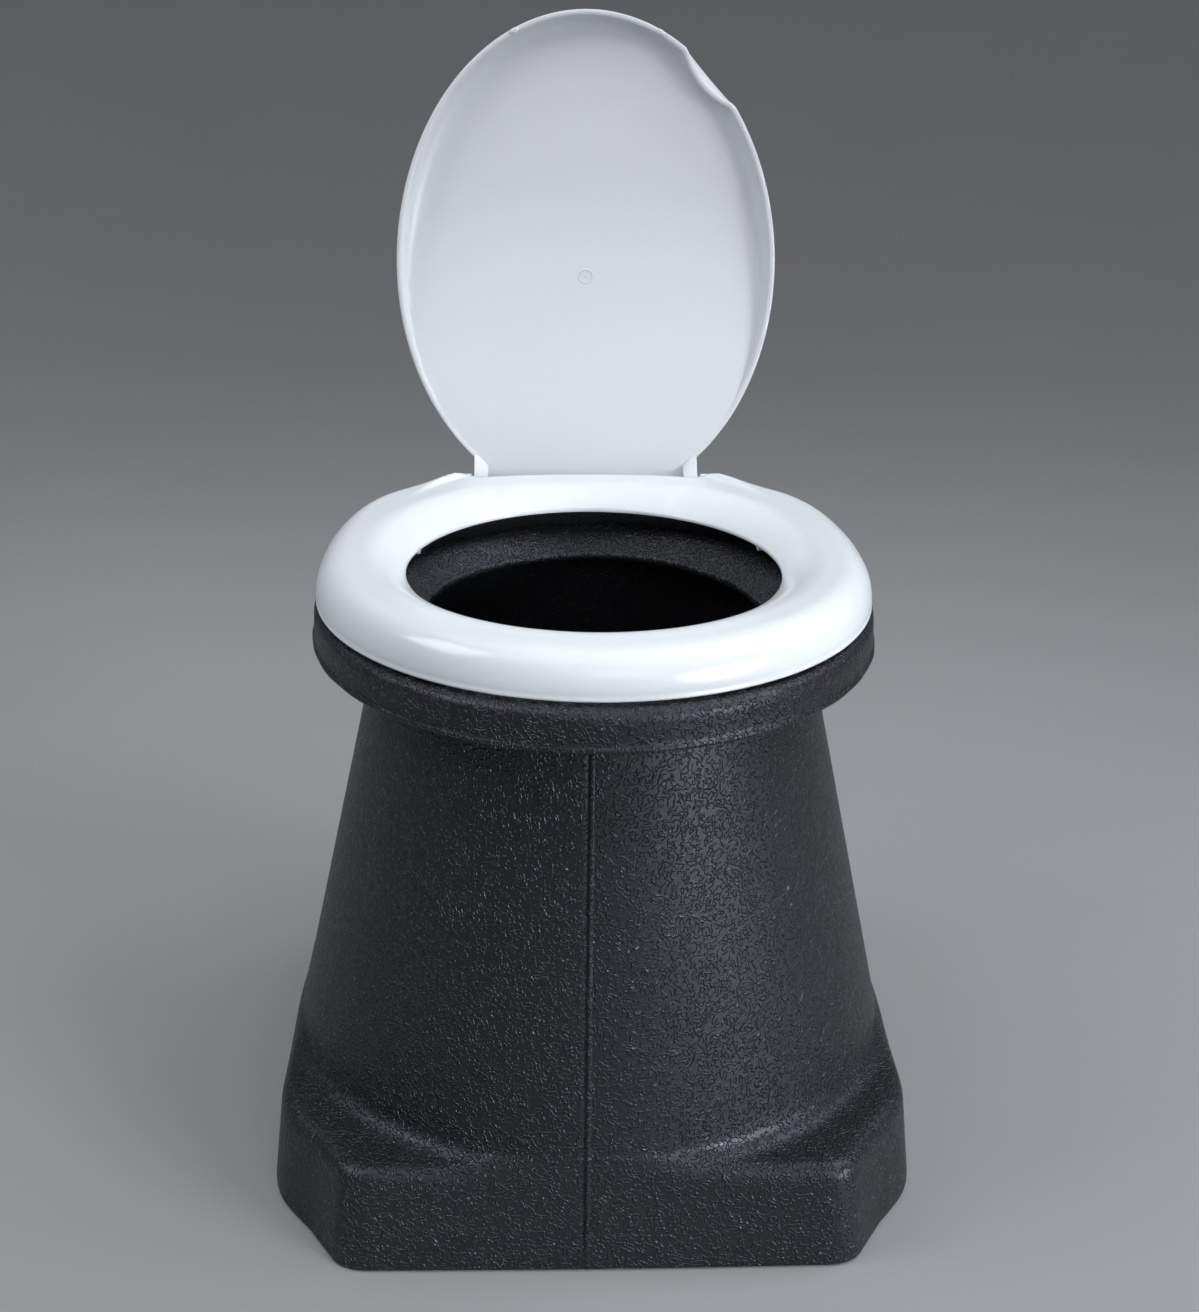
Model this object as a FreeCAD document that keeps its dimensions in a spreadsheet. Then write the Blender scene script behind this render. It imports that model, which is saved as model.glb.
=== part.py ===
import FreeCAD, Part
import math
import os
import Sketcher
from FreeCAD import Placement, Rotation, Vector

# A dry toilet: a hollow moulded pedestal with an open bottom, and a hinged seat and lid.
# Millimetres, +Z up, the user's front along -Y, origin on the floor under the middle of the pedestal.
# The lid is drawn closed and then turned open about the hinge pins.

doc = FreeCAD.newDocument("dry_toilet")
sheet = doc.addObject("Spreadsheet::Sheet", "sizes")

# Driving sizes: name, number, meaning
SIZES = (
    ("plinth_height", 67, "floor to the plinth's ridge"),
    ("plinth_front", 196, "middle to the front flat, at the ridge"),
    ("plinth_side", 200, "middle to the side flat, at the ridge"),
    ("plinth_front_half", 151, "half length of the front flat"),
    ("plinth_side_half", 112, "half length of the side flat"),
    ("plinth_spread", 8, "how much further out the plinth stands at the floor"),
    ("plinth_corner_radius", 9, "rounding of the upright corners at the front and rear"),
    ("plinth_side_radius", 40, "rounding of the upright corners at the sides"),
    ("ridge_radius", 7, "rounding of the plinth's top edge"),
    ("neck_base_radius", 197.5, "neck radius at the ridge"),
    ("neck_top_half_width", 137, "neck half width under the flange"),
    ("neck_top_half_length", 161, "neck half length under the flange"),
    ("root_radius", 14, "hollow rounding between neck and plinth"),
    ("root_sink", 0.4, "how far the rounding dips into the plinth"),
    ("shell_wall", 5, "wall of the moulding"),
    ("foot_lip", 24, "width of the turned-in foot"),
    ("seam_width", 2.4, "width of the parting line"),
    ("seam_height", 1.2, "height of the parting line"),
    ("seam_offset", 6, "how far left of the middle the parting line lies"),
    ("flange_height", 342, "floor to the underside of the flange"),
    ("flange_thickness", 24, "height of the flange's edge"),
    ("flange_half_width", 177, "half width of the flange"),
    ("flange_front", 203, "middle to the front of the flange"),
    ("flange_rear", 216, "middle to the rear of the flange"),
    ("flange_edge_radius", 6, "rounding of the flange's top edge"),
    ("bead_height", 3, "height of the bead along the flange's lower edge"),
    ("bead_reach", 1.4, "how far the bead stands out"),
    ("lip_half_width", 140, "half width where the flange turns down"),
    ("lip_half_length", 160, "half length where the flange turns down"),
    ("throat_half_width", 109, "half width of the trimmed opening"),
    ("throat_half_length", 124, "half length of the trimmed opening"),
    ("throat_drop", 15, "flange top down to the trimmed opening"),
    ("seat_gap", 2, "gap under the seat's skirt"),
    ("seat_rise", 26.5, "skirt to crown of the seat"),
    ("seat_half_width", 175, "half width of the seat"),
    ("seat_front", 193, "middle to the front of the seat"),
    ("seat_rear", 178, "middle to the rear of the seat"),
    ("seat_wall", 3.6, "wall of the seat"),
    ("hole_half_width", 119, "half width of the seat's hole"),
    ("hole_half_length", 130, "half length of the seat's hole"),
    ("hole_offset", 0.5, "how far back the hole's middle lies"),
    ("hole_drop", 13, "crown down to the hole's rim"),
    ("hinge_back", 185, "middle to the hinge axis"),
    ("hinge_lift", 21, "flange top up to the hinge axis"),
    ("hinge_ear_inner", 69, "middle to the inner face of a lid ear"),
    ("hinge_ear_width", 12, "width of a lid ear"),
    ("hinge_side_gap", 2, "side gap between neighbours on a pin"),
    ("post_width", 8, "width of a hinge post"),
    ("lug_width", 7.5, "width of a seat lug"),
    ("lug_length", 30, "how far a seat lug runs under the wing"),
    ("knuckle_radius", 4.5, "radius of the ears and lugs round the pin"),
    ("post_radius", 4, "radius of the post round the pin"),
    ("post_foot_half", 6.5, "half size of the post's square foot"),
    ("post_foot_height", 4, "height of the post's foot"),
    ("pin_radius", 2, "hinge pin radius"),
    ("pin_head_radius", 3, "radius of the pin's head"),
    ("pin_head_length", 2, "thickness of the pin's head"),
    ("running_clearance", 0.05, "gap all round a pin or stud in its hole"),
    ("stud_radius", 3, "fixing stud radius"),
    ("stud_hole_play", 1, "extra radius of the hole in the flange"),
    ("stud_grip", 9, "length of stud held in the post"),
    ("stud_tail", 6, "length of stud below the nut"),
    ("gasket_thickness", 1.5, "gasket between post and flange"),
    ("gasket_margin", 1, "how far the gasket shows round the foot"),
    ("rubber_washer_radius", 13, "radius of the rubber washer"),
    ("rubber_washer_thickness", 3, "thickness of the rubber washer"),
    ("flat_washer_radius", 11, "radius of the flat washer"),
    ("flat_washer_thickness", 1.5, "thickness of the flat washer"),
    ("nut_radius", 8, "radius of the wing nut's hub"),
    ("nut_height", 9, "height of the wing nut's hub"),
    ("wing_span", 17, "middle to the tip of a wing"),
    ("wing_drop", 7, "how far the wings hang below the hub"),
    ("wing_thickness", 4, "thickness of a wing"),
    ("buffer_radius", 8, "radius of a seat buffer"),
    ("buffer_height", 8, "flange to the boss that holds a buffer"),
    ("buffer_edge_radius", 1.5, "rounding of a buffer's edge"),
    ("buffer_stem_radius", 3.5, "radius of a buffer's stem"),
    ("buffer_stem_length", 7, "length of a buffer's stem"),
    ("boss_wall", 3, "wall of a buffer's boss"),
    ("rest_gap", 0.3, "gap left where a moving piece comes to rest"),
    ("lid_half_width", 135.5, "half width of the lid"),
    ("lid_front", 176, "widest line to the lid's front"),
    ("lid_rear", 171, "reach of the lid's rounded rear"),
    ("lid_centre", 152, "hinge axis to the lid's widest line"),
    ("lid_rim_lift", 10, "hinge axis up to the rim of the closed lid"),
    ("lid_depth", 18, "rim to top of the lid"),
    ("lid_round", 16, "width of the lid's rounded edge"),
    ("lid_wall", 3, "wall of the lid"),
    ("neck_lift", 8.5, "hinge axis up to the underside of the lid's neck"),
    ("neck_plate", 3.5, "thickness of the lid's neck"),
    ("neck_reach", 34, "hinge axis to the front of the neck"),
    ("neck_tail", 3, "how far the neck runs behind the hinge axis"),
    ("neck_bar_reach", 16, "hinge axis to the front of the neck's straight sides"),
    ("slope_reach", 100, "length of the slope from neck to lid top"),
    ("scoop_depth", 8, "depth of the finger scoop"),
    ("lid_buffer_length", 9, "length of a lid buffer along the rim"),
    ("lid_buffer_width", 5, "width of a lid buffer"),
    ("lid_buffer_place", 55, "middle to a lid buffer"),
    ("overrun", 2, "how far a cutting shape runs past what it cuts"),
)

LID_OPEN_ANGLE = 100
ROUND_POWER = 2
SEAT_REAR_POWER = 2.7
FLANGE_REAR_POWER = 3
SEAT_POINTS = 48
LID_POINTS = 96

# Seat section from skirt to hole: share of the way across, share of the rise
SEAT_SECTION_SHARES = (
    (0.0, 0.0), (0.006, 0.25), (0.05, 0.62), (0.18, 0.89), (0.38, 1.0), (0.56, 1.0), (0.72, 0.90),
)
BUFFER_ACROSS_SHARE = 0.32
BUFFER_ANGLES = (("front_left", 235), ("front_right", 305), ("rear_left", 140), ("rear_right", 40))

# Lid section from rim to top: share of the rounded edge, share of the depth, share of the scoop
LID_SECTION_SHARES = (
    (0.0, 0.0, 1.0), (0.0, 0.40, 1.0), (0.12, 0.72, 0.45), (0.5, 0.93, 0.0), (1.0, 1.0, 0.0),
)
SCOOP_ANGLE = 312
SCOOP_HALF_ANGLE = 11

# Inset of the plinth's corners along their flats, as a share of the inset of the flats
FRONT_TRIM_SHARE = 0.574
SIDE_TRIM_SHARE = 0.27


class Size:
    """A length that knows its number and the sheet formula behind it."""

    def __init__(self, value, text):
        self.value = value
        self.text = text

    def joined(self, other, sign, value):
        return Size(value, "(%s %s %s)" % (self.text, sign, other.text))

    def __add__(self, other):
        other = as_size(other)
        return self.joined(other, "+", self.value + other.value)

    def __sub__(self, other):
        other = as_size(other)
        return self.joined(other, "-", self.value - other.value)

    def __mul__(self, other):
        other = as_size(other)
        return self.joined(other, "*", self.value * other.value)

    def __truediv__(self, other):
        other = as_size(other)
        return self.joined(other, "/", self.value / other.value)

    def __neg__(self):
        return Size(-self.value, "(-1 * %s)" % self.text)

    def root(self):
        return Size(math.sqrt(self.value), "sqrt(%s)" % self.text)


def as_size(number):
    if isinstance(number, Size):
        return number
    return Size(number, repr(number))


def fill_sheet():
    for row, (name, number, meaning) in enumerate(SIZES, start=1):
        sheet.set("A%d" % row, meaning)
        sheet.set("B%d" % row, str(number))
        sheet.setAlias("B%d" % row, name)
    doc.recompute()


def size(name):
    return Size(float(sheet.get(name)), "sizes.%s" % name)


def number(name):
    return size(name).value


fill_sheet()
NOTHING = as_size(0)
OVERRUN = size("overrun")

# Levels and places that several pieces share
shoulder = size("plinth_height")
flange_bottom = size("flange_height")
flange_top = flange_bottom + size("flange_thickness")
throat_level = flange_top - size("throat_drop")
skirt_level = flange_top + size("seat_gap")
crown_level = skirt_level + size("seat_rise")
rim_level = crown_level - size("hole_drop")
hinge_y = size("hinge_back")
hinge_z = flange_top + size("hinge_lift")
ear_inner = size("hinge_ear_inner")
ear_outer = ear_inner + size("hinge_ear_width")
lug_inner = ear_outer + size("hinge_side_gap")
lug_outer = lug_inner + size("lug_width")
post_inner = lug_outer + size("hinge_side_gap")
post_middle = post_inner + size("post_width") / 2
post_outer = post_inner + size("post_width")
pin_hole_radius = size("pin_radius") + size("running_clearance")
stud_hole_radius = size("stud_radius") + size("running_clearance")


# Helpers for bound features
def bind(item, prop, length):
    item.setExpression(prop, length.text)


def place(item, x, y, z):
    item.Placement = Placement(Vector(x.value, y.value, z.value), item.Placement.Rotation)
    bind(item, "Placement.Base.x", x)
    bind(item, "Placement.Base.y", y)
    bind(item, "Placement.Base.z", z)


def new_body(name):
    body = doc.addObject("PartDesign::Body", name)
    body.Label = name
    return body


def new_sketch(body, name, role, offset=NOTHING):
    sketch = body.newObject("Sketcher::SketchObject", name)
    plane = next(item for item in body.Origin.OriginFeatures if item.Role == role)
    sketch.AttachmentSupport = [(plane, "")]
    sketch.MapMode = "FlatFace"
    bind(sketch, "AttachmentOffset.Base.z", offset)
    return sketch


def hold_point(sketch, index, end, x, y):
    """Tie one point of a sketch to its distances from the sketch's origin."""
    for kind, length, axis in (("DistanceX", x, -2), ("DistanceY", y, -1)):
        if length.value == 0:
            sketch.addConstraint(Sketcher.Constraint("PointOnObject", index, end, axis))
            continue
        if length.value > 0:
            rule = Sketcher.Constraint(kind, -1, 1, index, end, length.value)
            text = length.text
        else:
            rule = Sketcher.Constraint(kind, index, end, -1, 1, -length.value)
            text = (-length).text
        row = sketch.addConstraint(rule)
        sketch.setExpression("Constraints[%d]" % row, text)


def draw_polygon(sketch, points):
    count = len(points)
    for step in range(count):
        x1, y1 = points[step]
        x2, y2 = points[(step + 1) % count]
        line = Part.LineSegment(Vector(x1.value, y1.value, 0), Vector(x2.value, y2.value, 0))
        sketch.addGeometry(line, False)
    for step in range(count):
        sketch.addConstraint(Sketcher.Constraint("Coincident", step, 2, (step + 1) % count, 1))
    for step, (x, y) in enumerate(points):
        hold_point(sketch, step, 1, x, y)


def draw_circle(sketch, x, y, radius):
    circle = Part.Circle(Vector(x.value, y.value, 0), Vector(0, 0, 1), radius.value)
    index = sketch.addGeometry(circle, False)
    row = sketch.addConstraint(Sketcher.Constraint("Radius", index, radius.value))
    sketch.setExpression("Constraints[%d]" % row, radius.text)
    hold_point(sketch, index, 3, x, y)


def draw_rectangle(sketch, x_low, y_low, x_high, y_high):
    draw_polygon(sketch, [(x_low, y_low), (x_high, y_low), (x_high, y_high), (x_low, y_high)])


def pad(body, name, sketch, length, symmetric=False, downward=False):
    feature = body.newObject("PartDesign::Pad", name)
    feature.Profile = sketch
    bind(feature, "Length", length)
    if symmetric:
        feature.SideType = "Symmetric"
    feature.Reversed = downward
    doc.recompute()
    return feature


def pocket(body, name, sketch, length, symmetric=False, upward=False):
    feature = body.newObject("PartDesign::Pocket", name)
    feature.Profile = sketch
    bind(feature, "Length", length)
    if symmetric:
        feature.SideType = "Symmetric"
    feature.Reversed = upward
    doc.recompute()
    return feature


def round_edges(body, name, base, radius, wanted):
    """Round the edges of base that wanted(edge) picks."""
    edges = ["Edge%d" % row for row, edge in enumerate(base.Shape.Edges, start=1) if wanted(edge)]
    feature = body.newObject("PartDesign::Fillet", name)
    feature.Base = (base, edges)
    bind(feature, "Radius", radius)
    doc.recompute()
    return feature


def join(kind, name, *pieces):
    """A boolean of finished pieces: Part::MultiFuse, Part::Cut or Part::Common."""
    item = doc.addObject(kind, name)
    if kind == "Part::MultiFuse":
        item.Shapes = list(pieces)
    else:
        item.Base, item.Tool = pieces
    doc.recompute()
    return item


def cylinder(name, radius, height, x, y, z):
    item = doc.addObject("Part::Cylinder", name)
    bind(item, "Radius", radius)
    bind(item, "Height", height)
    place(item, x, y, z)
    return item


# Pedestal
def plinth_outline(inset):
    """The eight corners of the plinth at its ridge, moved in by inset."""
    front = size("plinth_front") - inset
    side = size("plinth_side") - inset
    front_half = size("plinth_front_half") - inset * FRONT_TRIM_SHARE
    side_half = size("plinth_side_half") - inset * SIDE_TRIM_SHARE
    return [
        (-front_half, -front), (front_half, -front), (side, -side_half), (side, side_half),
        (front_half, front), (-front_half, front), (-side, side_half), (-side, -side_half),
    ]


def plinth_block(name, inset, low, high, spread=True):
    """A block on the plinth's outline, from low up to high, spreading towards the floor."""
    body = new_body(name)
    sketch = new_sketch(body, name + "_outline", "XY_Plane", high)
    draw_polygon(sketch, plinth_outline(inset))
    block = pad(body, name + "_pad", sketch, high - low, downward=True)
    if spread:
        block.setExpression("TaperAngle", "atan(sizes.plinth_spread / sizes.plinth_height)")
    doc.recompute()
    return body


def is_upright(edge):
    ends = [vertex.Point.z for vertex in edge.Vertexes]
    return max(ends) - min(ends) > number("plinth_height") / 2


def is_side_corner(edge):
    return is_upright(edge) and edge.BoundBox.Center.y ** 2 < number("plinth_side_half") * number("plinth_front")


def is_end_corner(edge):
    return is_upright(edge) and edge.BoundBox.Center.y ** 2 > number("plinth_side_half") * number("plinth_front")


def is_ridge(edge):
    return edge.BoundBox.ZMin > number("plinth_height") - number("running_clearance")


def round_plinth(body):
    ends = round_edges(body, "plinth_end_corners", body.Tip, size("plinth_corner_radius"), is_end_corner)
    sides = round_edges(body, "plinth_side_corners", ends, size("plinth_side_radius"), is_side_corner)
    round_edges(body, "plinth_ridge", sides, size("ridge_radius"), is_ridge)


def ellipse(name, half_width, half_length, level):
    """A level ellipse, turned so that its longer half lies along or across the object."""
    wide = half_width.value > half_length.value
    item = doc.addObject("Part::Ellipse", name)
    bind(item, "MajorRadius", half_width if wide else half_length)
    bind(item, "MinorRadius", half_length if wide else half_width)
    turn = 0 if wide else 90
    item.Placement = Placement(Vector(0, 0, level.value), Rotation(Vector(0, 0, 1), turn))
    bind(item, "Placement.Base.z", level)
    return item


def straight_loft(name, levels):
    """A straight-sided solid through (half width, half length, level) ellipses."""
    sections = []
    for step, (half_width, half_length, level) in enumerate(levels, start=1):
        sections.append(ellipse("%s_%d" % (name, step), half_width, half_length, level))
    item = doc.addObject("Part::Loft", name)
    item.Sections = sections
    item.Solid = True
    item.Ruled = True
    doc.recompute()
    return item


def oval_points(half_width, front, rear, rear_power, count):
    """Points of an oval with a rounded front and a squarer rear."""
    points = []
    for step in range(count):
        turn = 2 * math.pi * step / count
        across = math.cos(turn)
        along = math.sin(turn)
        if along > 0:
            fill = abs(across / half_width) ** rear_power + abs(along / rear) ** rear_power
            reach = fill ** (-1 / rear_power)
            points.append((reach * across, reach * along))
        else:
            points.append((half_width * across, front * along))
    return points


def closed_curve(points, level):
    curve = Part.BSplineCurve()
    curve.interpolate(Points=[Vector(x, y, level) for x, y in points], PeriodicFlag=True)
    return Part.Wire(curve.toShape())


def flange_slab(name, grow, low, height, edge_radius=0):
    """A slab on the flange's outline, with a rounded top edge."""
    points = oval_points(
        number("flange_half_width") + grow, number("flange_front") + grow,
        number("flange_rear") + grow, FLANGE_REAR_POWER, SEAT_POINTS,
    )
    shape = Part.Face(closed_curve(points, low)).extrude(Vector(0, 0, height))
    if edge_radius:
        top = [edge for edge in shape.Edges if edge.BoundBox.ZMin > low + height / 2]
        shape = shape.makeFillet(edge_radius, top)
    item = doc.addObject("Part::Feature", name)
    item.Shape = shape
    return item


def build_pedestal():
    wall = size("shell_wall")
    plinth = plinth_block("plinth", NOTHING, NOTHING, shoulder)
    round_plinth(plinth)

    # Hollow rounding at the foot of the neck: a collar with a ring taken out of it, trimmed to the walls
    top_mean = (size("neck_top_half_width") + size("neck_top_half_length")) / 2
    slant = (size("neck_base_radius") - top_mean) / (flange_bottom - shoulder)
    stretch = (slant * slant + 1).root()
    root = size("root_radius")
    ring_radius = size("neck_base_radius") - slant * root + stretch * root
    root_top = shoulder + root - slant * root / stretch - size("root_sink")
    neck_radius = ring_radius - root / stretch
    collar_low = shoulder - root
    collar = cylinder("collar", ring_radius, root_top - collar_low, NOTHING, NOTHING, collar_low)
    ring = doc.addObject("Part::Torus", "root_ring")
    bind(ring, "Radius1", ring_radius)
    bind(ring, "Radius2", root)
    place(ring, NOTHING, NOTHING, shoulder + root - size("root_sink"))
    root_rounding = join("Part::Cut", "root_rounding", collar, ring)
    guard = plinth_block("guard", NOTHING, collar_low - OVERRUN, root_top + OVERRUN, spread=False)
    root_trimmed = join("Part::Common", "root_trimmed", root_rounding, guard)

    top_width = size("neck_top_half_width")
    top_length = size("neck_top_half_length")
    neck = straight_loft("neck", [
        (neck_radius, neck_radius, root_top),
        (top_width, top_length, flange_bottom),
        (top_width, top_length, flange_bottom + wall),
    ])
    flange = flange_slab(
        "flange", 0, flange_bottom.value, number("flange_thickness"), number("flange_edge_radius"))
    bead = flange_slab("flange_bead", number("bead_reach"), flange_bottom.value, number("bead_height"))

    # Parting line of the mould, front and rear
    grow = size("seam_height")
    seam_plinth = plinth_block("seam_plinth", -grow, NOTHING, shoulder)
    seam_neck = straight_loft("seam_neck", [
        (size("neck_base_radius") + grow, size("neck_base_radius") + grow, shoulder),
        (top_width + grow, top_length + grow, flange_bottom),
    ])
    seam_plate = doc.addObject("Part::Box", "seam_plate")
    bind(seam_plate, "Length", size("seam_width"))
    bind(seam_plate, "Width", size("flange_front") * 2)
    bind(seam_plate, "Height", flange_bottom)
    place(seam_plate, -size("seam_offset") - size("seam_width") / 2, -size("flange_front"), NOTHING)
    seam_outline = join("Part::MultiFuse", "seam_outline", seam_plinth, seam_neck)
    seam = join("Part::Common", "seam", seam_outline, seam_plate)
    outside = join("Part::MultiFuse", "outside", plinth, root_trimmed, neck, flange, bead, seam)

    # Room inside the moulding, kept clear of the turned-down lip
    plinth_room = plinth_block("plinth_room", wall, wall, shoulder - wall)
    neck_room = straight_loft("neck_room", [
        (size("neck_base_radius") - wall, size("neck_base_radius") - wall, shoulder - wall * 2),
        (top_width - wall, top_length - wall, flange_bottom),
        (top_width - wall, top_length - wall, flange_bottom + wall + OVERRUN),
    ])
    flange_room = flange_slab(
        "flange_room", -number("shell_wall"), (flange_bottom + wall).value,
        (size("flange_thickness") - wall * 2).value)
    room = join("Part::MultiFuse", "room", plinth_room, neck_room, flange_room)
    lip = (size("lip_half_width"), size("lip_half_length"))
    throat = (size("throat_half_width"), size("throat_half_length"))
    lip_underside = straight_loft("lip_underside", [
        (*throat, throat_level - wall), (*lip, flange_top - wall), (*lip, flange_top),
    ])
    inside = join("Part::Cut", "inside", room, lip_underside)
    mouth = straight_loft("mouth", [
        (*throat, throat_level - wall - OVERRUN), (*throat, throat_level), (*lip, flange_top),
        (*lip, flange_top + OVERRUN),
    ])
    foot_hole = plinth_block("foot_hole", size("foot_lip"), -OVERRUN, wall + OVERRUN, spread=False)
    cuts = [inside, mouth, foot_hole]
    for side, sign in (("left", -1), ("right", 1)):
        hole_radius = size("stud_radius") + size("stud_hole_play")
        cuts.append(cylinder(
            "stud_hole_" + side, hole_radius, size("flange_thickness") + OVERRUN * 2,
            post_middle * sign, hinge_y, flange_bottom - OVERRUN))
    hollow = join("Part::MultiFuse", "hollow", *cuts)
    shell = join("Part::Cut", "pedestal", outside, hollow)
    shell.Label = "pedestal_shell"
    return [shell]


# Seat
def hole_points(grow):
    half_width = number("hole_half_width") + grow
    half_length = number("hole_half_length") + grow
    points = oval_points(half_width, half_length, half_length, ROUND_POWER, SEAT_POINTS)
    return [(x, y + number("hole_offset")) for x, y in points]


def ring_points(across_share, inset):
    """A closed line on the seat, a share of the way from its outline to its hole."""
    outline = oval_points(
        number("seat_half_width") - inset, number("seat_front") - inset, number("seat_rear") - inset,
        SEAT_REAR_POWER, SEAT_POINTS,
    )
    hole = hole_points(-inset)
    keep = 1 - across_share
    return [
        (keep * x1 + across_share * x2, keep * y1 + across_share * y2)
        for (x1, y1), (x2, y2) in zip(outline, hole)
    ]


def dome_curves(inset, drop):
    """Closed lines over the seat's dome from skirt to hole, moved in by inset and down by drop."""
    curves = []
    for across_share, rise_share in SEAT_SECTION_SHARES:
        level = skirt_level.value + number("seat_rise") * rise_share
        if rise_share > 0:
            level = level - drop
        curves.append(closed_curve(ring_points(across_share, inset), level))
    curves.append(closed_curve(ring_points(1, inset), rim_level.value - drop))
    return curves


def hollow_ring():
    """The seat's skin: a dome, the same dome further in, and the two narrow faces that close them."""
    wall = number("seat_wall")
    outer = dome_curves(0, 0)
    inner = dome_curves(wall, wall)
    skins = [Part.makeLoft(curves, False, False) for curves in (outer, inner)]
    skins.append(Part.makeLoft([outer[0], inner[0]], False, True))
    skins.append(Part.makeLoft([outer[-1], inner[-1]], False, True))
    shell = Part.Shell([face for skin in skins for face in skin.Faces])
    shell.sewShape()
    ring = Part.Solid(shell.Shells[0])
    if ring.Volume < 0:
        ring.reverse()
    return ring


def buffer_place(angle):
    """Middle of a seat buffer: the point of the ring nearest to an angle seen from above."""
    points = ring_points(BUFFER_ACROSS_SHARE, 0)
    wanted = math.radians(angle)

    def miss(point):
        turn = math.atan2(point[1], point[0]) - wanted
        return abs(math.remainder(turn, 2 * math.pi))

    return min(points, key=miss)


def across(radius, x_low, x_high):
    """A cylinder round the hinge axis."""
    start = Vector(x_low, hinge_y.value, hinge_z.value)
    return Part.makeCylinder(radius, x_high - x_low, start, Vector(1, 0, 0))


def seat_lug(sign):
    low, high = sorted((lug_inner.value * sign, lug_outer.value * sign))
    radius = number("knuckle_radius")
    corner = Vector(low, hinge_y.value - number("lug_length"), hinge_z.value - radius)
    plate = Part.makeBox(high - low, number("lug_length"), radius, corner)
    return plate.fuse(across(radius, low, high))


def build_seat():
    overrun = number("overrun")
    added = [seat_lug(-1), seat_lug(1)]
    bores = []
    for sign in (-1, 1):
        low, high = sorted((lug_inner.value * sign, lug_outer.value * sign))
        bores.append(across(pin_hole_radius.value, low - overrun, high + overrun))
    boss_low = flange_top.value + number("buffer_height")
    boss_high = crown_level.value - number("seat_wall") / 2
    boss_radius = number("buffer_stem_radius") + number("boss_wall")
    stem_radius = number("buffer_stem_radius") + number("running_clearance")
    for name, angle in BUFFER_ANGLES:
        x, y = buffer_place(angle)
        foot = Vector(x, y, boss_low)
        added.append(Part.makeCylinder(boss_radius, boss_high - boss_low, foot))
        bores.append(Part.makeCylinder(stem_radius, number("buffer_stem_length") + overrun, foot))
    seat = doc.addObject("Part::Feature", "seat")
    seat.Label = "seat_ring"
    seat.Shape = hollow_ring().fuse(added).cut(bores)
    return [seat] + [build_seat_buffer(name, angle) for name, angle in BUFFER_ANGLES]


def build_seat_buffer(name, angle):
    """A round pad with a stem that sits in the seat's boss."""
    body = new_body("seat_buffer_" + name)
    radius = size("buffer_radius")
    height = size("buffer_height") - size("rest_gap")
    sketch = new_sketch(body, body.Name + "_disc", "XY_Plane")
    draw_circle(sketch, NOTHING, NOTHING, radius)
    disc = pad(body, body.Name + "_pad", sketch, height)
    sketch = new_sketch(body, body.Name + "_stem", "XY_Plane", height)
    draw_circle(sketch, NOTHING, NOTHING, size("buffer_stem_radius"))
    stem = pad(body, body.Name + "_stem_pad", sketch, size("buffer_stem_length"))
    round_edges(
        body, body.Name + "_edge", stem, size("buffer_edge_radius"),
        lambda edge: edge.BoundBox.ZMax < disc.Length.Value / 2 and len(edge.Vertexes) == 1)
    x, y = buffer_place(angle)
    body.Placement = Placement(Vector(x, y, 0), Rotation())
    bind(body, "Placement.Base.z", flange_top + size("rest_gap"))
    return body


# Lid
def lid_points(inset, scoop):
    """Outline of the closed lid, pressed in at the finger scoop."""
    middle = hinge_y.value - number("lid_centre")
    points = []
    for step in range(LID_POINTS):
        angle = 360 * step / LID_POINTS
        away = abs(angle - SCOOP_ANGLE) / SCOOP_HALF_ANGLE
        press = scoop * math.cos(away * math.pi / 2) ** 2 if away < 1 else 0
        reach = number("lid_rear") if angle < 180 else number("lid_front")
        turn = math.radians(angle)
        x = (number("lid_half_width") - inset - press) * math.cos(turn)
        y = middle + (reach - inset - press) * math.sin(turn)
        points.append((x, y))
    return points


def lid_dish(inset, drop, start):
    """The lid's dished form, lowered by drop."""
    rim = hinge_z.value + number("lid_rim_lift")
    sections = []
    for edge_share, depth_share, scoop_share in LID_SECTION_SHARES:
        level = rim - drop + number("lid_depth") * depth_share
        if depth_share == 0:
            level = start
        points = lid_points(
            inset + number("lid_round") * edge_share, number("scoop_depth") * scoop_share)
        sections.append(closed_curve(points, level))
    return Part.makeLoft(sections, True, False)


def above_neck(drop):
    """The space above the lid's neck and the slope in front of it, lowered by drop."""
    neck = hinge_z.value + number("neck_lift") + number("neck_plate") - drop
    top = hinge_z.value + number("lid_rim_lift") + number("lid_depth") - drop
    steep = number("slope_reach") / (top - neck)
    overrun = number("overrun") + drop
    foot = hinge_y.value - number("neck_reach")
    rear = hinge_y.value + number("lid_rear")
    corners = [
        (rear, neck), (foot, neck), (foot - steep * (top + overrun - neck), top + overrun),
        (rear, top + overrun),
    ]
    half = number("lid_half_width") + number("overrun")
    points = [Vector(-half, y, z) for y, z in corners]
    return Part.Face(Part.makePolygon(points + points[:1])).extrude(Vector(half * 2, 0, 0))


def neck_bar():
    """The straight-sided end of the neck, as wide as the ears below it."""
    half = ear_outer.value
    reach = number("neck_bar_reach")
    corner = Vector(-half, hinge_y.value - reach, hinge_z.value + number("neck_lift"))
    return Part.makeBox(half * 2, reach + number("neck_tail"), number("neck_plate"), corner)


def lid_ear(sign):
    low, high = sorted((ear_inner.value * sign, ear_outer.value * sign))
    radius = number("knuckle_radius")
    corner = Vector(low, hinge_y.value - radius, hinge_z.value)
    height = number("neck_lift") + number("neck_plate") / 2
    web = Part.makeBox(high - low, radius * 2, height, corner)
    return web.fuse(across(radius, low, high))


def open_lid(item):
    """Turn a piece of the lid from closed to open about the hinge axis."""
    axis = Vector(0, hinge_y.value, hinge_z.value)
    item.Placement = Placement(Vector(), Rotation(Vector(1, 0, 0), -LID_OPEN_ANGLE), axis)


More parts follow.
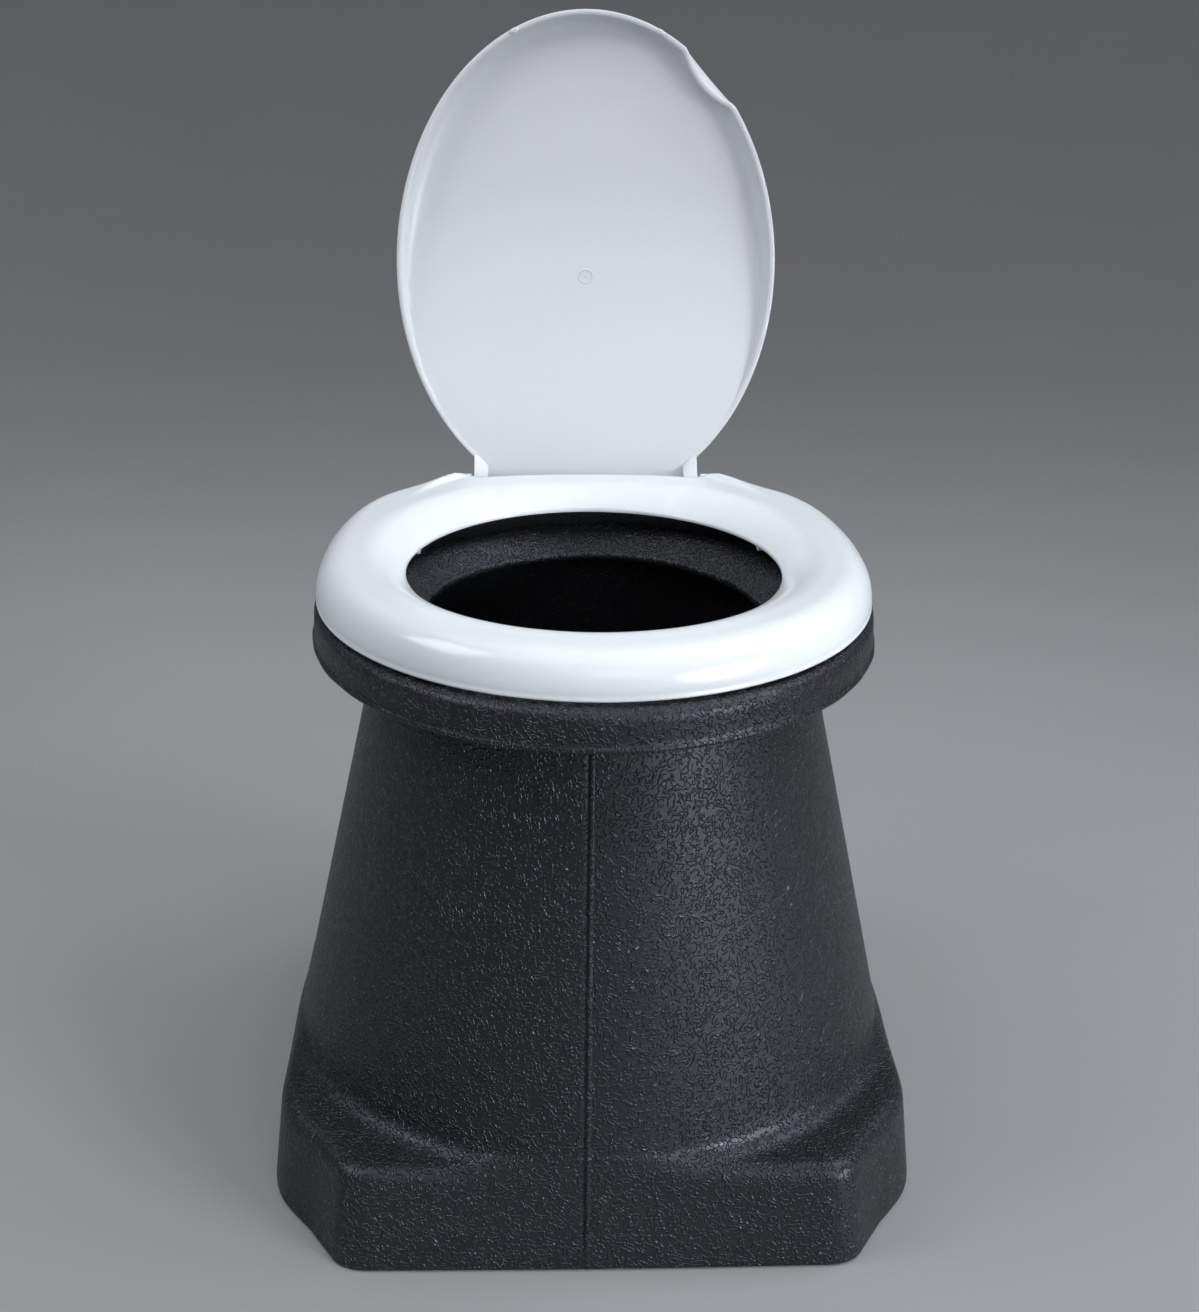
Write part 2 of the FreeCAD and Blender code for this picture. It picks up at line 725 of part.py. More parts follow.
def build_lid():
    wall = number("lid_wall")
    overrun = number("overrun")
    rim = hinge_z.value + number("lid_rim_lift")
    half = number("lid_half_width") + overrun
    outside = lid_dish(0, 0, rim).cut(above_neck(0))
    inside = lid_dish(wall, wall, rim - overrun).cut(above_neck(wall))
    neck_low = hinge_z.value + number("neck_lift")
    neck = Part.Face(closed_curve(lid_points(wall / 2, 0), neck_low))
    neck = neck.extrude(Vector(0, 0, number("neck_plate")))
    neck_front = hinge_y.value - number("neck_reach") - overrun
    neck_box = Part.makeBox(
        half * 2, number("lid_rear"), number("neck_plate"), Vector(-half, neck_front, neck_low))
    tail = Part.makeBox(
        half * 2, number("lid_rear"), number("lid_depth") * 2,
        Vector(-half, hinge_y.value - number("neck_bar_reach"), neck_low - overrun))
    dish = outside.cut(inside).fuse(neck.common(neck_box)).cut(tail)
    bores = []
    for sign in (-1, 1):
        low, high = sorted((ear_inner.value * sign, ear_outer.value * sign))
        bores.append(across(pin_hole_radius.value, low - overrun, high + overrun))
    lid = doc.addObject("Part::Feature", "lid")
    lid.Label = "lid"
    lid.Shape = dish.fuse([neck_bar(), lid_ear(-1), lid_ear(1)]).cut(bores)
    open_lid(lid)
    return [lid, build_lid_buffer("left", -1), build_lid_buffer("right", 1)]


def build_lid_buffer(side, sign):
    """A small pad under the lid's front rim, turned to follow the rim."""
    rim = hinge_z.value + number("lid_rim_lift")
    points = lid_points(number("lid_wall") / 2, 0)[LID_POINTS // 2:]
    wanted = sign * number("lid_buffer_place")
    x, y = min(points, key=lambda point: abs(point[0] - wanted))
    step = points.index((x, y))
    before = points[step - 1]
    after = points[step + 1]
    rim_way = Vector(after[0] - before[0], after[1] - before[1], 0).normalize()
    side_way = Vector(-rim_way.y, rim_way.x, 0)
    low = crown_level.value + number("rest_gap")
    rim_way = rim_way * number("lid_buffer_length") / 2
    side_way = side_way * number("lid_buffer_width") / 2
    middle = Vector(x, y, low)
    corners = [
        middle - rim_way - side_way, middle + rim_way - side_way,
        middle + rim_way + side_way, middle - rim_way + side_way,
    ]
    foot = Part.Face(Part.makePolygon(corners + corners[:1]))
    item = doc.addObject("Part::Feature", "lid_buffer_" + side)
    item.Label = item.Name
    item.Shape = foot.extrude(Vector(0, 0, rim - number("running_clearance") - low))
    open_lid(item)
    return item


# Hinge hardware
def build_post(side, sign):
    """An upright with a square foot and a rounded head round the hinge pin."""
    body = new_body("hinge_post_" + side)
    foot_low = flange_top + size("gasket_thickness")
    head = hinge_z - foot_low
    radius = size("post_radius")
    foot_half = size("post_foot_half")
    sketch = new_sketch(body, body.Name + "_foot", "XY_Plane")
    draw_rectangle(sketch, -foot_half, -foot_half, foot_half, foot_half)
    pad(body, body.Name + "_foot_pad", sketch, size("post_foot_height"))
    sketch = new_sketch(body, body.Name + "_leg", "YZ_Plane")
    draw_rectangle(sketch, -radius, NOTHING, radius, head)
    pad(body, body.Name + "_leg_pad", sketch, size("post_width"), symmetric=True)
    sketch = new_sketch(body, body.Name + "_head", "YZ_Plane")
    draw_circle(sketch, NOTHING, head, radius)
    pad(body, body.Name + "_head_pad", sketch, size("post_width"), symmetric=True)
    sketch = new_sketch(body, body.Name + "_bore", "YZ_Plane")
    draw_circle(sketch, NOTHING, head, pin_hole_radius)
    pocket(body, body.Name + "_bore_cut", sketch, size("post_width") + OVERRUN, symmetric=True)
    sketch = new_sketch(body, body.Name + "_socket", "XY_Plane")
    draw_circle(sketch, NOTHING, NOTHING, stud_hole_radius)
    pocket(body, body.Name + "_socket_cut", sketch, size("stud_grip"), upward=True)
    place(body, post_middle * sign, hinge_y, foot_low)
    return body


def build_pin(side, sign):
    """A headed pin through the lid's ear, the seat's lug and the post."""
    body = new_body("hinge_pin_" + side)
    length = post_outer + size("rest_gap") - ear_inner
    head = size("pin_head_length")
    sketch = new_sketch(body, body.Name + "_half_section", "XY_Plane")
    draw_polygon(sketch, [
        (NOTHING, NOTHING), (length + head, NOTHING), (length + head, size("pin_head_radius")),
        (length, size("pin_head_radius")), (length, size("pin_radius")), (NOTHING, size("pin_radius")),
    ])
    turned = body.newObject("PartDesign::Revolution", body.Name + "_turned")
    turned.Profile = sketch
    turned.ReferenceAxis = (sketch, ["H_Axis"])
    turned.Angle = 360
    doc.recompute()
    body.Placement = Placement(Vector(), Rotation(Vector(0, 0, 1), 0 if sign > 0 else 180))
    place(body, ear_inner * sign, hinge_y, hinge_z)
    return body


def build_disc(name, outline, thickness, hole_radius, sign, level):
    """A flat piece with a hole for the stud; outline draws its edge in a sketch."""
    body = new_body(name)
    sketch = new_sketch(body, name + "_outline", "XY_Plane")
    outline(sketch)
    draw_circle(sketch, NOTHING, NOTHING, hole_radius)
    pad(body, name + "_pad", sketch, thickness)
    place(body, post_middle * sign, hinge_y, level)
    return body


def build_stud(side, sign, low):
    """A plain stud standing in for a threaded one."""
    body = new_body("hinge_stud_" + side)
    high = flange_top + size("gasket_thickness") + size("stud_grip") - size("running_clearance")
    sketch = new_sketch(body, body.Name + "_section", "XY_Plane")
    draw_circle(sketch, NOTHING, NOTHING, size("stud_radius"))
    rod = pad(body, body.Name + "_pad", sketch, high - low)
    chamfer = body.newObject("PartDesign::Chamfer", body.Name + "_ends")
    chamfer.Base = (rod, ["Edge%d" % row for row, edge in enumerate(rod.Shape.Edges, start=1)
                          if isinstance(edge.Curve, Part.Circle)])
    bind(chamfer, "Size", size("stud_radius") / 4)
    doc.recompute()
    place(body, post_middle * sign, hinge_y, low)
    return body


def build_nut(side, sign, top):
    """A wing nut, drawn hanging down from its top face."""
    body = new_body("wing_nut_" + side)
    height = size("nut_height")
    sketch = new_sketch(body, body.Name + "_hub", "XY_Plane")
    draw_circle(sketch, NOTHING, NOTHING, size("nut_radius"))
    pad(body, body.Name + "_hub_pad", sketch, height, downward=True)
    span = size("wing_span")
    low = -(height + size("wing_drop"))
    hub_edge = size("nut_radius") / 2
    sketch = new_sketch(body, body.Name + "_wings", "XZ_Plane")
    draw_polygon(sketch, [
        (-hub_edge, -size("wing_thickness")), (hub_edge, -size("wing_thickness")),
        (span, -height), (span, low), (size("nut_radius"), low), (hub_edge, -height),
        (-hub_edge, -height), (-size("nut_radius"), low), (-span, low), (-span, -height),
    ])
    pad(body, body.Name + "_wings_pad", sketch, size("wing_thickness"), symmetric=True)
    sketch = new_sketch(body, body.Name + "_bore", "XY_Plane")
    draw_circle(sketch, NOTHING, NOTHING, stud_hole_radius)
    pocket(body, body.Name + "_bore_cut", sketch, height + size("wing_drop") + OVERRUN)
    place(body, post_middle * sign, hinge_y, top)
    return body


def build_hinge_side(side, sign):
    foot_half = size("post_foot_half") + size("gasket_margin")
    rubber_low = flange_bottom - size("rubber_washer_thickness")
    washer_low = rubber_low - size("flat_washer_thickness")
    stud_low = washer_low - size("nut_height") - size("stud_tail")
    hole = stud_hole_radius

    def gasket_outline(sketch):
        draw_rectangle(sketch, -foot_half, -foot_half, foot_half, foot_half)

    def rubber_outline(sketch):
        draw_circle(sketch, NOTHING, NOTHING, size("rubber_washer_radius"))

    def washer_outline(sketch):
        draw_circle(sketch, NOTHING, NOTHING, size("flat_washer_radius"))

    return [
        build_post(side, sign),
        build_pin(side, sign),
        build_disc("post_gasket_" + side, gasket_outline, size("gasket_thickness"), hole, sign, flange_top),
        build_stud(side, sign, stud_low),
        build_disc("flange_washer_" + side, rubber_outline, size("rubber_washer_thickness"), hole, sign,
                   rubber_low),
        build_disc("stud_washer_" + side, washer_outline, size("flat_washer_thickness"), hole, sign,
                   washer_low),
        build_nut(side, sign, washer_low),
    ]


def check(pieces):
    doc.recompute()
    for item in doc.Objects:
        if "Invalid" in item.State or "Error" in item.State:
            raise RuntimeError("%s did not recompute" % item.Name)
    for piece in pieces:
        shape = piece.Shape
        if shape.isNull() or not shape.isValid():
            raise RuntimeError("%s has no sound shape" % piece.Label)


def write(pieces):
    os.makedirs("parts", exist_ok=True)
    for piece in pieces:
        piece.Shape.exportStep("parts/%s.step" % piece.Label)
        box = piece.Shape.BoundBox
        print("%-24s %d solid  %9.0f mm3  z %.1f to %.1f" % (
            piece.Label, len(piece.Shape.Solids), piece.Shape.Volume, box.ZMin, box.ZMax))


pieces = build_pedestal() + build_seat() + build_lid()
pieces += build_hinge_side("left", -1)
pieces += build_hinge_side("right", 1)
check(pieces)
write(pieces)
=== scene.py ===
# %% [markdown]
# # A dry toilet, dressed for its portrait
# The object is a waterless pedestal: one hollow black moulding with a wrinkled skin, and a glossy white
# seat and lid on a simple pin hinge. The measured solids arrive first, as a fixed frame. Every piece made
# here is drawn in the same frame, so nothing has to be fitted afterwards.

# %% Load the measured frame
import math

import bmesh
import bpy
from mathutils import Matrix, Vector


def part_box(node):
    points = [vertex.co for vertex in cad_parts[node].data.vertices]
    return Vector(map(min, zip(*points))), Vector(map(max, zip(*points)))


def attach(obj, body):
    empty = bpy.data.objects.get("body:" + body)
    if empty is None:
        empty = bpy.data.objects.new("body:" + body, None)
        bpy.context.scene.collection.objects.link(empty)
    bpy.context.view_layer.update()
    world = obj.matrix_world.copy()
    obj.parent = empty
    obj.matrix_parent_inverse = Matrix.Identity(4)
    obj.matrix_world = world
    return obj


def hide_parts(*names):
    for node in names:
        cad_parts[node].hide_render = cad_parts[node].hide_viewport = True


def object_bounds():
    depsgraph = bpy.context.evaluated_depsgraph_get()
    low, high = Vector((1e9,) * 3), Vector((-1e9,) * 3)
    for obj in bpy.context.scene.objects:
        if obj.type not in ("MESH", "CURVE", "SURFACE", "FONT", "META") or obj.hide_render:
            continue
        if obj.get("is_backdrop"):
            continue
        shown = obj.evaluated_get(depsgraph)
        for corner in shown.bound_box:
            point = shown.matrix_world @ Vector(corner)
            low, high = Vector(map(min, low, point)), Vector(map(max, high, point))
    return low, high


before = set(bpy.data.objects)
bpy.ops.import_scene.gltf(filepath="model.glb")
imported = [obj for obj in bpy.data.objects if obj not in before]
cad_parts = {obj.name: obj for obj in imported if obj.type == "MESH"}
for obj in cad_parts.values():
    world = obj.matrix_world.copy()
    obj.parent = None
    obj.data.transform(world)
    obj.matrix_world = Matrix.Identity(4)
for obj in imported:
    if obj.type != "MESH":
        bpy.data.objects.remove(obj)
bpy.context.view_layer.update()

# %% [markdown]
# ## The camera
# The photograph looks down at the pedestal from a little above the open lid and slightly from the left,
# with the camera leaning by about half a degree. A lens of about 51 mm at 1.2 m gives the same
# perspective. Building the camera from its three directions keeps the lean exact.

# %% Camera at the photograph's angle
MM = 0.001
AIM = Vector((0, 0, 321 * MM))
CAMERA_DISTANCE = 1200 * MM
PICTURE_HEIGHT = 1312
FOCUS_PIXELS = 1857
SHIFT_PIXELS = 6.5
elevation = math.radians(21)
heading = math.radians(-2)
lean = math.radians(-0.6)

back = Vector((math.sin(heading) * math.cos(elevation),
               -math.cos(heading) * math.cos(elevation),
               math.sin(elevation)))
level_right = Vector((math.cos(heading), math.sin(heading), 0))
level_up = back.cross(level_right)
right = level_right * math.cos(lean) - level_up * math.sin(lean)
up = level_right * math.sin(lean) + level_up * math.cos(lean)

bpy.ops.object.camera_add()
camera = bpy.context.object
camera.name = "portrait_camera"
turn = Matrix((right, up, back)).transposed()
camera.matrix_world = Matrix.Translation(AIM + back * CAMERA_DISTANCE) @ turn.to_4x4()
camera.data.sensor_width = 36
camera.data.lens = FOCUS_PIXELS * camera.data.sensor_width / PICTURE_HEIGHT
camera.data.shift_x = SHIFT_PIXELS / PICTURE_HEIGHT
bpy.context.scene.camera = camera
print("camera at", [round(v, 3) for v in camera.location])

# %% [markdown]
# ## One way to make a moulding
# The pedestal, the seat and the lid are all thin skins that run round in closed loops. By hand one would
# add a circle, extrude its edge, scale the new loop into place, and go on until the skin closes. This
# helper does the same: it extrudes the loop once for each ring, then puts the new loop where it belongs.
# A number painted on each ring travels with the mesh, and the materials read it later.

# %% Helper: extrude a circle ring by ring
MERGE_DISTANCE = 0.00001


def deselect():
    if bpy.context.object and bpy.context.object.mode == "EDIT":
        bpy.ops.object.mode_set(mode="OBJECT")
    bpy.ops.object.select_all(action="DESELECT")


def extrude_rings(name, rings, paint=None, smooth_angle=40):
    """rings are loops of (x, y, z) in millimetres; paint holds one number for each ring."""
    deselect()
    bpy.ops.mesh.primitive_circle_add(vertices=len(rings[0]), radius=1)
    piece = bpy.context.object
    piece.name = name
    piece.data.name = name
    bpy.ops.object.mode_set(mode="EDIT")
    mesh = bmesh.from_edit_mesh(piece.data)
    place = mesh.verts.layers.int.new("place")
    skin = mesh.verts.layers.float.new("skin")
    for index, vert in enumerate(mesh.verts):
        vert[place] = index
        vert.select = True
    for step, ring in enumerate(rings):
        if step:
            bpy.ops.mesh.extrude_region()
            mesh = bmesh.from_edit_mesh(piece.data)
            place = mesh.verts.layers.int["place"]
            skin = mesh.verts.layers.float["skin"]
        for vert in mesh.verts:
            if vert.select:
                vert.co = Vector(ring[vert[place]]) * MM
                vert[skin] = paint[step] if paint else 0
        bmesh.update_edit_mesh(piece.data)
    bpy.ops.mesh.select_all(action="SELECT")
    bpy.ops.mesh.remove_doubles(threshold=MERGE_DISTANCE)
    bpy.ops.mesh.dissolve_degenerate(threshold=MERGE_DISTANCE)
    bpy.ops.mesh.normals_make_consistent(inside=False)
    bpy.ops.object.mode_set(mode="OBJECT")
    bpy.ops.object.shade_smooth_by_angle(angle=math.radians(smooth_angle))
    print(name, len(piece.data.polygons), "faces")
    return piece


def bend(start, corner, end, count):
    """Points of a rounded corner, from start to end, in the plane of a section."""
    points = []
    for step in range(count):
        t = step / (count - 1)
        a, b, c = (1 - t) ** 2, 2 * t * (1 - t), t * t
        points.append(tuple(a * p + b * q + c * r for p, q, r in zip(start, corner, end)))
    return points


def run(start, end, count):
    """Evenly spaced points on a straight run, without its first point."""
    points = []
    for step in range(1, count + 1):
        points.append(tuple(p + (q - p) * step / count for p, q in zip(start, end)))
    return points

# %% [markdown]
# ## The pedestal's outlines
# Seen from above, the plinth is an octagon with soft corners and slightly bowed slanting sides, the neck
# starts as a circle and ends as an oval, and the flange is an oval with a squarer rear. Each is a radius
# for every direction, so that all the loops of the skin can share the same directions. Extra directions
# lie along the mould's parting line and at the plinth's corners, where the shape changes quickly.

# %% Outlines of the pedestal
PLINTH_FLATS = ((0, 200), (90, 196), (180, 200), (270, 196))
SLANT_FACING = 30.26
SLANT_DISTANCE = 229.2
SLANT_HALF = 48.6
SLANT_BOW = 3
GLANCING = 0.05
PLINTH_CORNERS = (29.2, 52.4)
CORNER_OFFSETS = (-3.3, -2.1, -0.9, 0.3, 1.5, 2.7)
FLANGE_HALF_WIDTH = 177
FLANGE_FRONT = 203
FLANGE_REAR = 216
FLANGE_REAR_POWER = 3
SEAM_REACH = 180
SEAM_PLACE = -6
SEAM_SECTION = ((-3.4, 0), (-2.6, -0.5), (-1.7, -0.5), (-1.0, 0.9), (-0.4, 1.2), (0.4, 1.1), (1.0, 0.2),
                (1.8, 0))
EVEN_DIRECTIONS = 288


def all_four(degrees):
    """A direction and its mirror images to the left, to the front, and to both."""
    return (degrees, 180 - degrees, 180 + degrees, 360 - degrees)


def directions():
    """Angles round the pedestal, in radians, closer together where the shape turns quickly."""
    angles = [math.radians(360 / EVEN_DIRECTIONS * step) for step in range(EVEN_DIRECTIONS)]
    for offset, _ in SEAM_SECTION:
        slant = math.asin((SEAM_PLACE + offset) / SEAM_REACH)
        angles += [math.radians(270) + slant, math.radians(90) - slant]
    for corner in PLINTH_CORNERS:
        for middle in all_four(corner):
            for offset in CORNER_OFFSETS:
                angles.append(math.radians(middle + offset))
    return sorted(angles)


def plinth_radius(angle, grow, softness):
    """Distance to the plinth's wall in one direction, with corners softened over a width."""
    reaches = []
    for facing, distance in PLINTH_FLATS:
        towards = math.cos(angle - math.radians(facing))
        if towards > GLANCING:
            reaches.append((distance + grow) / towards)
    for facing in all_four(SLANT_FACING):
        towards = math.cos(angle - math.radians(facing))
        if towards > GLANCING:
            along = (SLANT_DISTANCE + grow) * math.tan(angle - math.radians(facing))
            bow = SLANT_BOW * max(1 - (along / SLANT_HALF) ** 2, 0)
            reaches.append((SLANT_DISTANCE + grow + bow) / towards)
    nearest, second = sorted(reaches)[:2]
    overlap = max(softness - (second - nearest), 0) / softness
    return nearest - overlap * overlap * softness / 4


def oval_radius(angle, half_width, half_length):
    return 1 / math.hypot(math.cos(angle) / half_width, math.sin(angle) / half_length)


def square_radius(angle, half_width, half_length, power):
    """Radius of an oval with squarer corners, which a higher power fills out more."""
    across = abs(math.cos(angle) / half_width)
    along = abs(math.sin(angle) / half_length)
    return (across ** power + along ** power) ** (-1 / power)


def flange_radius(angle):
    if math.sin(angle) <= 0:
        return oval_radius(angle, FLANGE_HALF_WIDTH, FLANGE_FRONT)
    return square_radius(angle, FLANGE_HALF_WIDTH, FLANGE_REAR, FLANGE_REAR_POWER)


angles = directions()
print("directions round the pedestal:", len(angles))

# %% [markdown]
# ## The pedestal
# It is rotationally moulded, so its wall is even and every edge is rounded. One section through the wall
# is drawn for each direction: up the plinth's wall, over its ridge, through the hollow root of the neck,
# up the neck, round the flange, down the turned-in lip, and back down inside. Where the neck is wider
# than the plinth's front wall, the ridge fades out, as on the real one, because the wall then runs
# straight into the root. The parting line is a fine bead with a groove on its left, at the front and
# rear, and it fades towards the foot.

# %% Slope and root of the neck
PLINTH_HEIGHT = 67
FLANGE_BOTTOM = 342
ROOT_RADIUS = 14
NECK_BASE = 197.5
NECK_TOP = (137, 161)
neck_slant = (NECK_BASE - sum(NECK_TOP) / 2) / (FLANGE_BOTTOM - PLINTH_HEIGHT)
neck_stretch = math.hypot(1, neck_slant)
root_centre = NECK_BASE - neck_slant * ROOT_RADIUS + neck_stretch * ROOT_RADIUS
root_top = PLINTH_HEIGHT + ROOT_RADIUS - ROOT_RADIUS * neck_slant / neck_stretch
root_reach = root_centre - ROOT_RADIUS / neck_stretch


def neck_radius(angle, level):
    share = (level - root_top) / (FLANGE_BOTTOM - root_top)
    return root_reach + (oval_radius(angle, *NECK_TOP) - root_reach) * share


def root_level(reach):
    """Height of the shoulder and the hollow root at a distance from the middle."""
    if reach >= root_centre:
        return PLINTH_HEIGHT
    across = min(root_centre - reach, ROOT_RADIUS)
    return PLINTH_HEIGHT + ROOT_RADIUS - math.sqrt(ROOT_RADIUS ** 2 - across ** 2)


print("the neck starts at radius", round(root_reach, 1), "and height", round(root_top, 1))

# %% Points up the plinth and the neck
PLINTH_SPREAD = 8
WALL_SOFTNESS = 14
FOOT_LIP = 24
FOOT_SOFTNESS = 10
RIDGE = 11
SHOULDER_SAMPLES = 60
SHOULDER_POINTS = 18
NECK_POINTS = 26
FLANGE_FILLET = 5


def shoulder_path(start):
    """Points from the ridge over the shoulder and up the root, evenly spaced along the way."""
    stride = root_reach - start
    fine = [start + stride * step / SHOULDER_SAMPLES for step in range(SHOULDER_SAMPLES + 1)]
    fine = [(reach, root_level(reach)) for reach in fine]
    length = [0]
    for one, two in zip(fine, fine[1:]):
        length.append(length[-1] + math.dist(one, two))
    path = []
    for step in range(SHOULDER_POINTS):
        wanted = length[-1] * step / (SHOULDER_POINTS - 1)
        place = max(i for i, run_length in enumerate(length) if run_length <= wanted + 1e-9)
        path.append(fine[place])
    path[-1] = (root_reach, root_top)
    return path


def plinth_points(angle):
    """(distance, height) points from the foot's hole, up the wall and over the ridge to the neck."""
    wall_top = plinth_radius(angle, 0, WALL_SOFTNESS)
    wall_foot = wall_top + PLINTH_SPREAD
    foot_hole = plinth_radius(angle, -FOOT_LIP, FOOT_SOFTNESS)
    points = [(foot_hole, 0), (foot_hole + 8, 0)]
    points += bend((wall_foot - 4, 0), (wall_foot, 0), (wall_foot - 0.5, 4), 5)
    ridge_level = root_level(wall_top)
    ridge_start = (wall_top + PLINTH_SPREAD * RIDGE / PLINTH_HEIGHT, ridge_level - RIDGE)
    path = shoulder_path(max(wall_top - RIDGE, root_reach + 1))
    points += run(points[-1], ridge_start, 8)
    points += bend(ridge_start, (wall_top, ridge_level), path[0], 9)[1:]
    points += path[1:]
    return points


def neck_points(angle):
    points = []
    for step in range(1, NECK_POINTS + 1):
        level = root_top + (FLANGE_BOTTOM - FLANGE_FILLET - root_top) * step / NECK_POINTS
        points.append((neck_radius(angle, level), level))
    return points

# %% Points round the flange and down the lip
FLANGE_TOP = 366
FLASH = 1.1
FLASH_WOBBLE = 0.25
THROAT = (109, 124)
LIP_TURN = 2.9


def flange_points(angle, start):
    """Points from the neck out under the flange, over the flash the mould leaves, and round the edge."""
    rim = flange_radius(angle)
    under = neck_radius(angle, FLANGE_BOTTOM)
    flash = FLASH + FLASH_WOBBLE * math.sin(23 * angle) * math.sin(7 * angle + 1)
    points = bend(start, (under, FLANGE_BOTTOM), (under + FLANGE_FILLET, FLANGE_BOTTOM), 4)[1:]
    points += run(points[-1], (rim - 0.6, FLANGE_BOTTOM), 4)
    points += [(rim + flash - 0.4, FLANGE_BOTTOM + 0.3), (rim + flash, FLANGE_BOTTOM + 1.1),
               (rim + flash, FLANGE_BOTTOM + 2.2), (rim + flash - 0.5, FLANGE_BOTTOM + 3.1),
               (rim, FLANGE_BOTTOM + 3.8)]
    points += run(points[-1], (rim - 0.4, FLANGE_TOP - 7), 5)
    points += bend(points[-1], (rim - 0.4, FLANGE_TOP), (rim - 8, FLANGE_TOP), 7)[1:]
    return points


def throat_radius(angle):
    """The opening is cut by hand after moulding, so its edge wanders a little."""
    wobble = 0.5 * math.sin(5 * angle + 1) + 0.35 * math.sin(13 * angle) + 0.2 * math.sin(31 * angle + 2)
    return oval_radius(angle, *THROAT) + wobble


def lip_points(angle, start):
    """Points in over the flange's top and down the turned-in lip to its cut edge."""
    throat = throat_radius(angle)
    points = run(start, (throat + 26, FLANGE_TOP), 5)
    points += bend(points[-1], (throat + 21, FLANGE_TOP), (throat + 17, FLANGE_TOP - LIP_TURN), 6)[1:]
    points += run(points[-1], (throat + 4, 352.4), 6)
    points += bend(points[-1], (throat + 2, 351), (throat + 0.4, 350.2), 3)[1:]
    return points

# %% Points inside the wall, and the whole section
WALL = 5
LIP_START = (140, 160)
SEAM_START = 2
SEAM_FADE = 30
OUTSIDE_SKIN = 1.0
LIP_SKIN = 0.7
INSIDE_SKIN = 0.25


def smooth_step(low, high, value):
    share = min(max((value - low) / (high - low), 0), 1)
    return share * share * (3 - 2 * share)


def inside_points(angle):
    """Points from the lip's cut edge, back under the flange and down inside to the foot's hole."""
    throat = throat_radius(angle)
    rim = flange_radius(angle)
    wall_top = plinth_radius(angle, 0, WALL_SOFTNESS)
    foot_hole = plinth_radius(angle, -FOOT_LIP, FOOT_SOFTNESS)
    inner_neck = neck_radius(angle, FLANGE_BOTTOM + WALL) - WALL
    points = [(throat, 349.6), (throat, 346.6), (throat + 0.5, 346)]
    points += run(points[-1], (oval_radius(angle, *LIP_START) - 1, FLANGE_TOP - WALL), 3)
    points += [(rim - WALL - 2, FLANGE_TOP - WALL), (rim - WALL, FLANGE_TOP - WALL - 2),
               (rim - WALL, FLANGE_BOTTOM + WALL), (inner_neck, FLANGE_BOTTOM + WALL)]
    points += run(points[-1], (root_reach - WALL, root_top), 8)
    points += run(points[-1], (min(wall_top, NECK_BASE) - WALL, PLINTH_HEIGHT - WALL), 2)
    points += run(points[-1], (wall_top - WALL, PLINTH_HEIGHT - WALL - 2), 3)
    points += run(points[-1], (wall_top + PLINTH_SPREAD - WALL - 1, WALL), 4)
    points += [(foot_hole, WALL), (foot_hole, 0)]
    return points


def seam_bead(angle):
    """Height of the parting line in one direction."""
    across = SEAM_REACH * math.cos(angle) - SEAM_PLACE
    for (left, low), (right, high) in zip(SEAM_SECTION, SEAM_SECTION[1:]):
        if left <= across <= right:
            return low + (high - low) * (across - left) / (right - left)
    return 0


def pedestal_section(angle):
    """(distance, height, wrinkle) points of the wall in one direction; the last meets the first."""
    bead = seam_bead(angle)
    wall = plinth_points(angle) + neck_points(angle)
    flange = flange_points(angle, wall[-1])
    lip = lip_points(angle, flange[-1])
    section = []
    for step, (reach, level) in enumerate(wall):
        if step >= SEAM_START:
            reach += bead * (0.4 + 0.6 * smooth_step(0, SEAM_FADE, level))
        section.append((reach, level, OUTSIDE_SKIN))
    section += [(reach, level, OUTSIDE_SKIN) for reach, level in flange]
    section += [(reach, level, LIP_SKIN) for reach, level in lip]
    section += [(reach, level, INSIDE_SKIN) for reach, level in inside_points(angle)]
    return section


sections = [pedestal_section(angle) for angle in angles]
print("points in one section:", len(sections[0]))

# %% Extrude the pedestal
pedestal_rings = []
pedestal_paint = []
for row in zip(*sections):
    pedestal_rings.append([
        (reach * math.cos(angle), reach * math.sin(angle), level)
        for angle, (reach, level, wrinkle) in zip(angles, row)
    ])
    pedestal_paint.append(row[0][2])
pedestal = extrude_rings("pedestal", pedestal_rings, pedestal_paint, smooth_angle=50)
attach(pedestal, "pedestal")
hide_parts("pedestal_shell")

# %% [markdown]
# ## The seat
# A seat like this is one glossy moulding, domed above and hollow below. Its loops blend from the outline
# to the hole: steep at the skirt, flat over the crown, then falling to the rim of the hole. A thin bead
# runs along the foot of the skirt. At the rear, the wings on both sides of the lid stand a little higher
# than the ground that the closed lid covers, with a soft step along the lid's outline.

# %% Shape of the seat
SKIRT = 368
SEAT_RISE = 26.5
RIM_SHARE = 0.51
CROWN_END = 0.48
SHOULDER_POWER = 2.4
HINGE_Y = 185
HINGE_Z = 387
LID_HALF_WIDTH = 135.5
LID_FRONT = 176
LID_REAR = 171
LID_CENTRE = 152
LID_GAP = 1.5
EAR_OUTER = 81
WING_REACH = 8
WING_FULL = 92


def seat_height_share(across, shoulder):
    """Share of the seat's rise at a share of the way from the outline to the hole."""
    if across < shoulder:
        return (1 - ((shoulder - across) / shoulder) ** SHOULDER_POWER) ** (1 / SHOULDER_POWER)
    if across < CROWN_END:
        return 1
    return 1 - (1 - RIM_SHARE) * ((across - CROWN_END) / (1 - CROWN_END)) ** 2


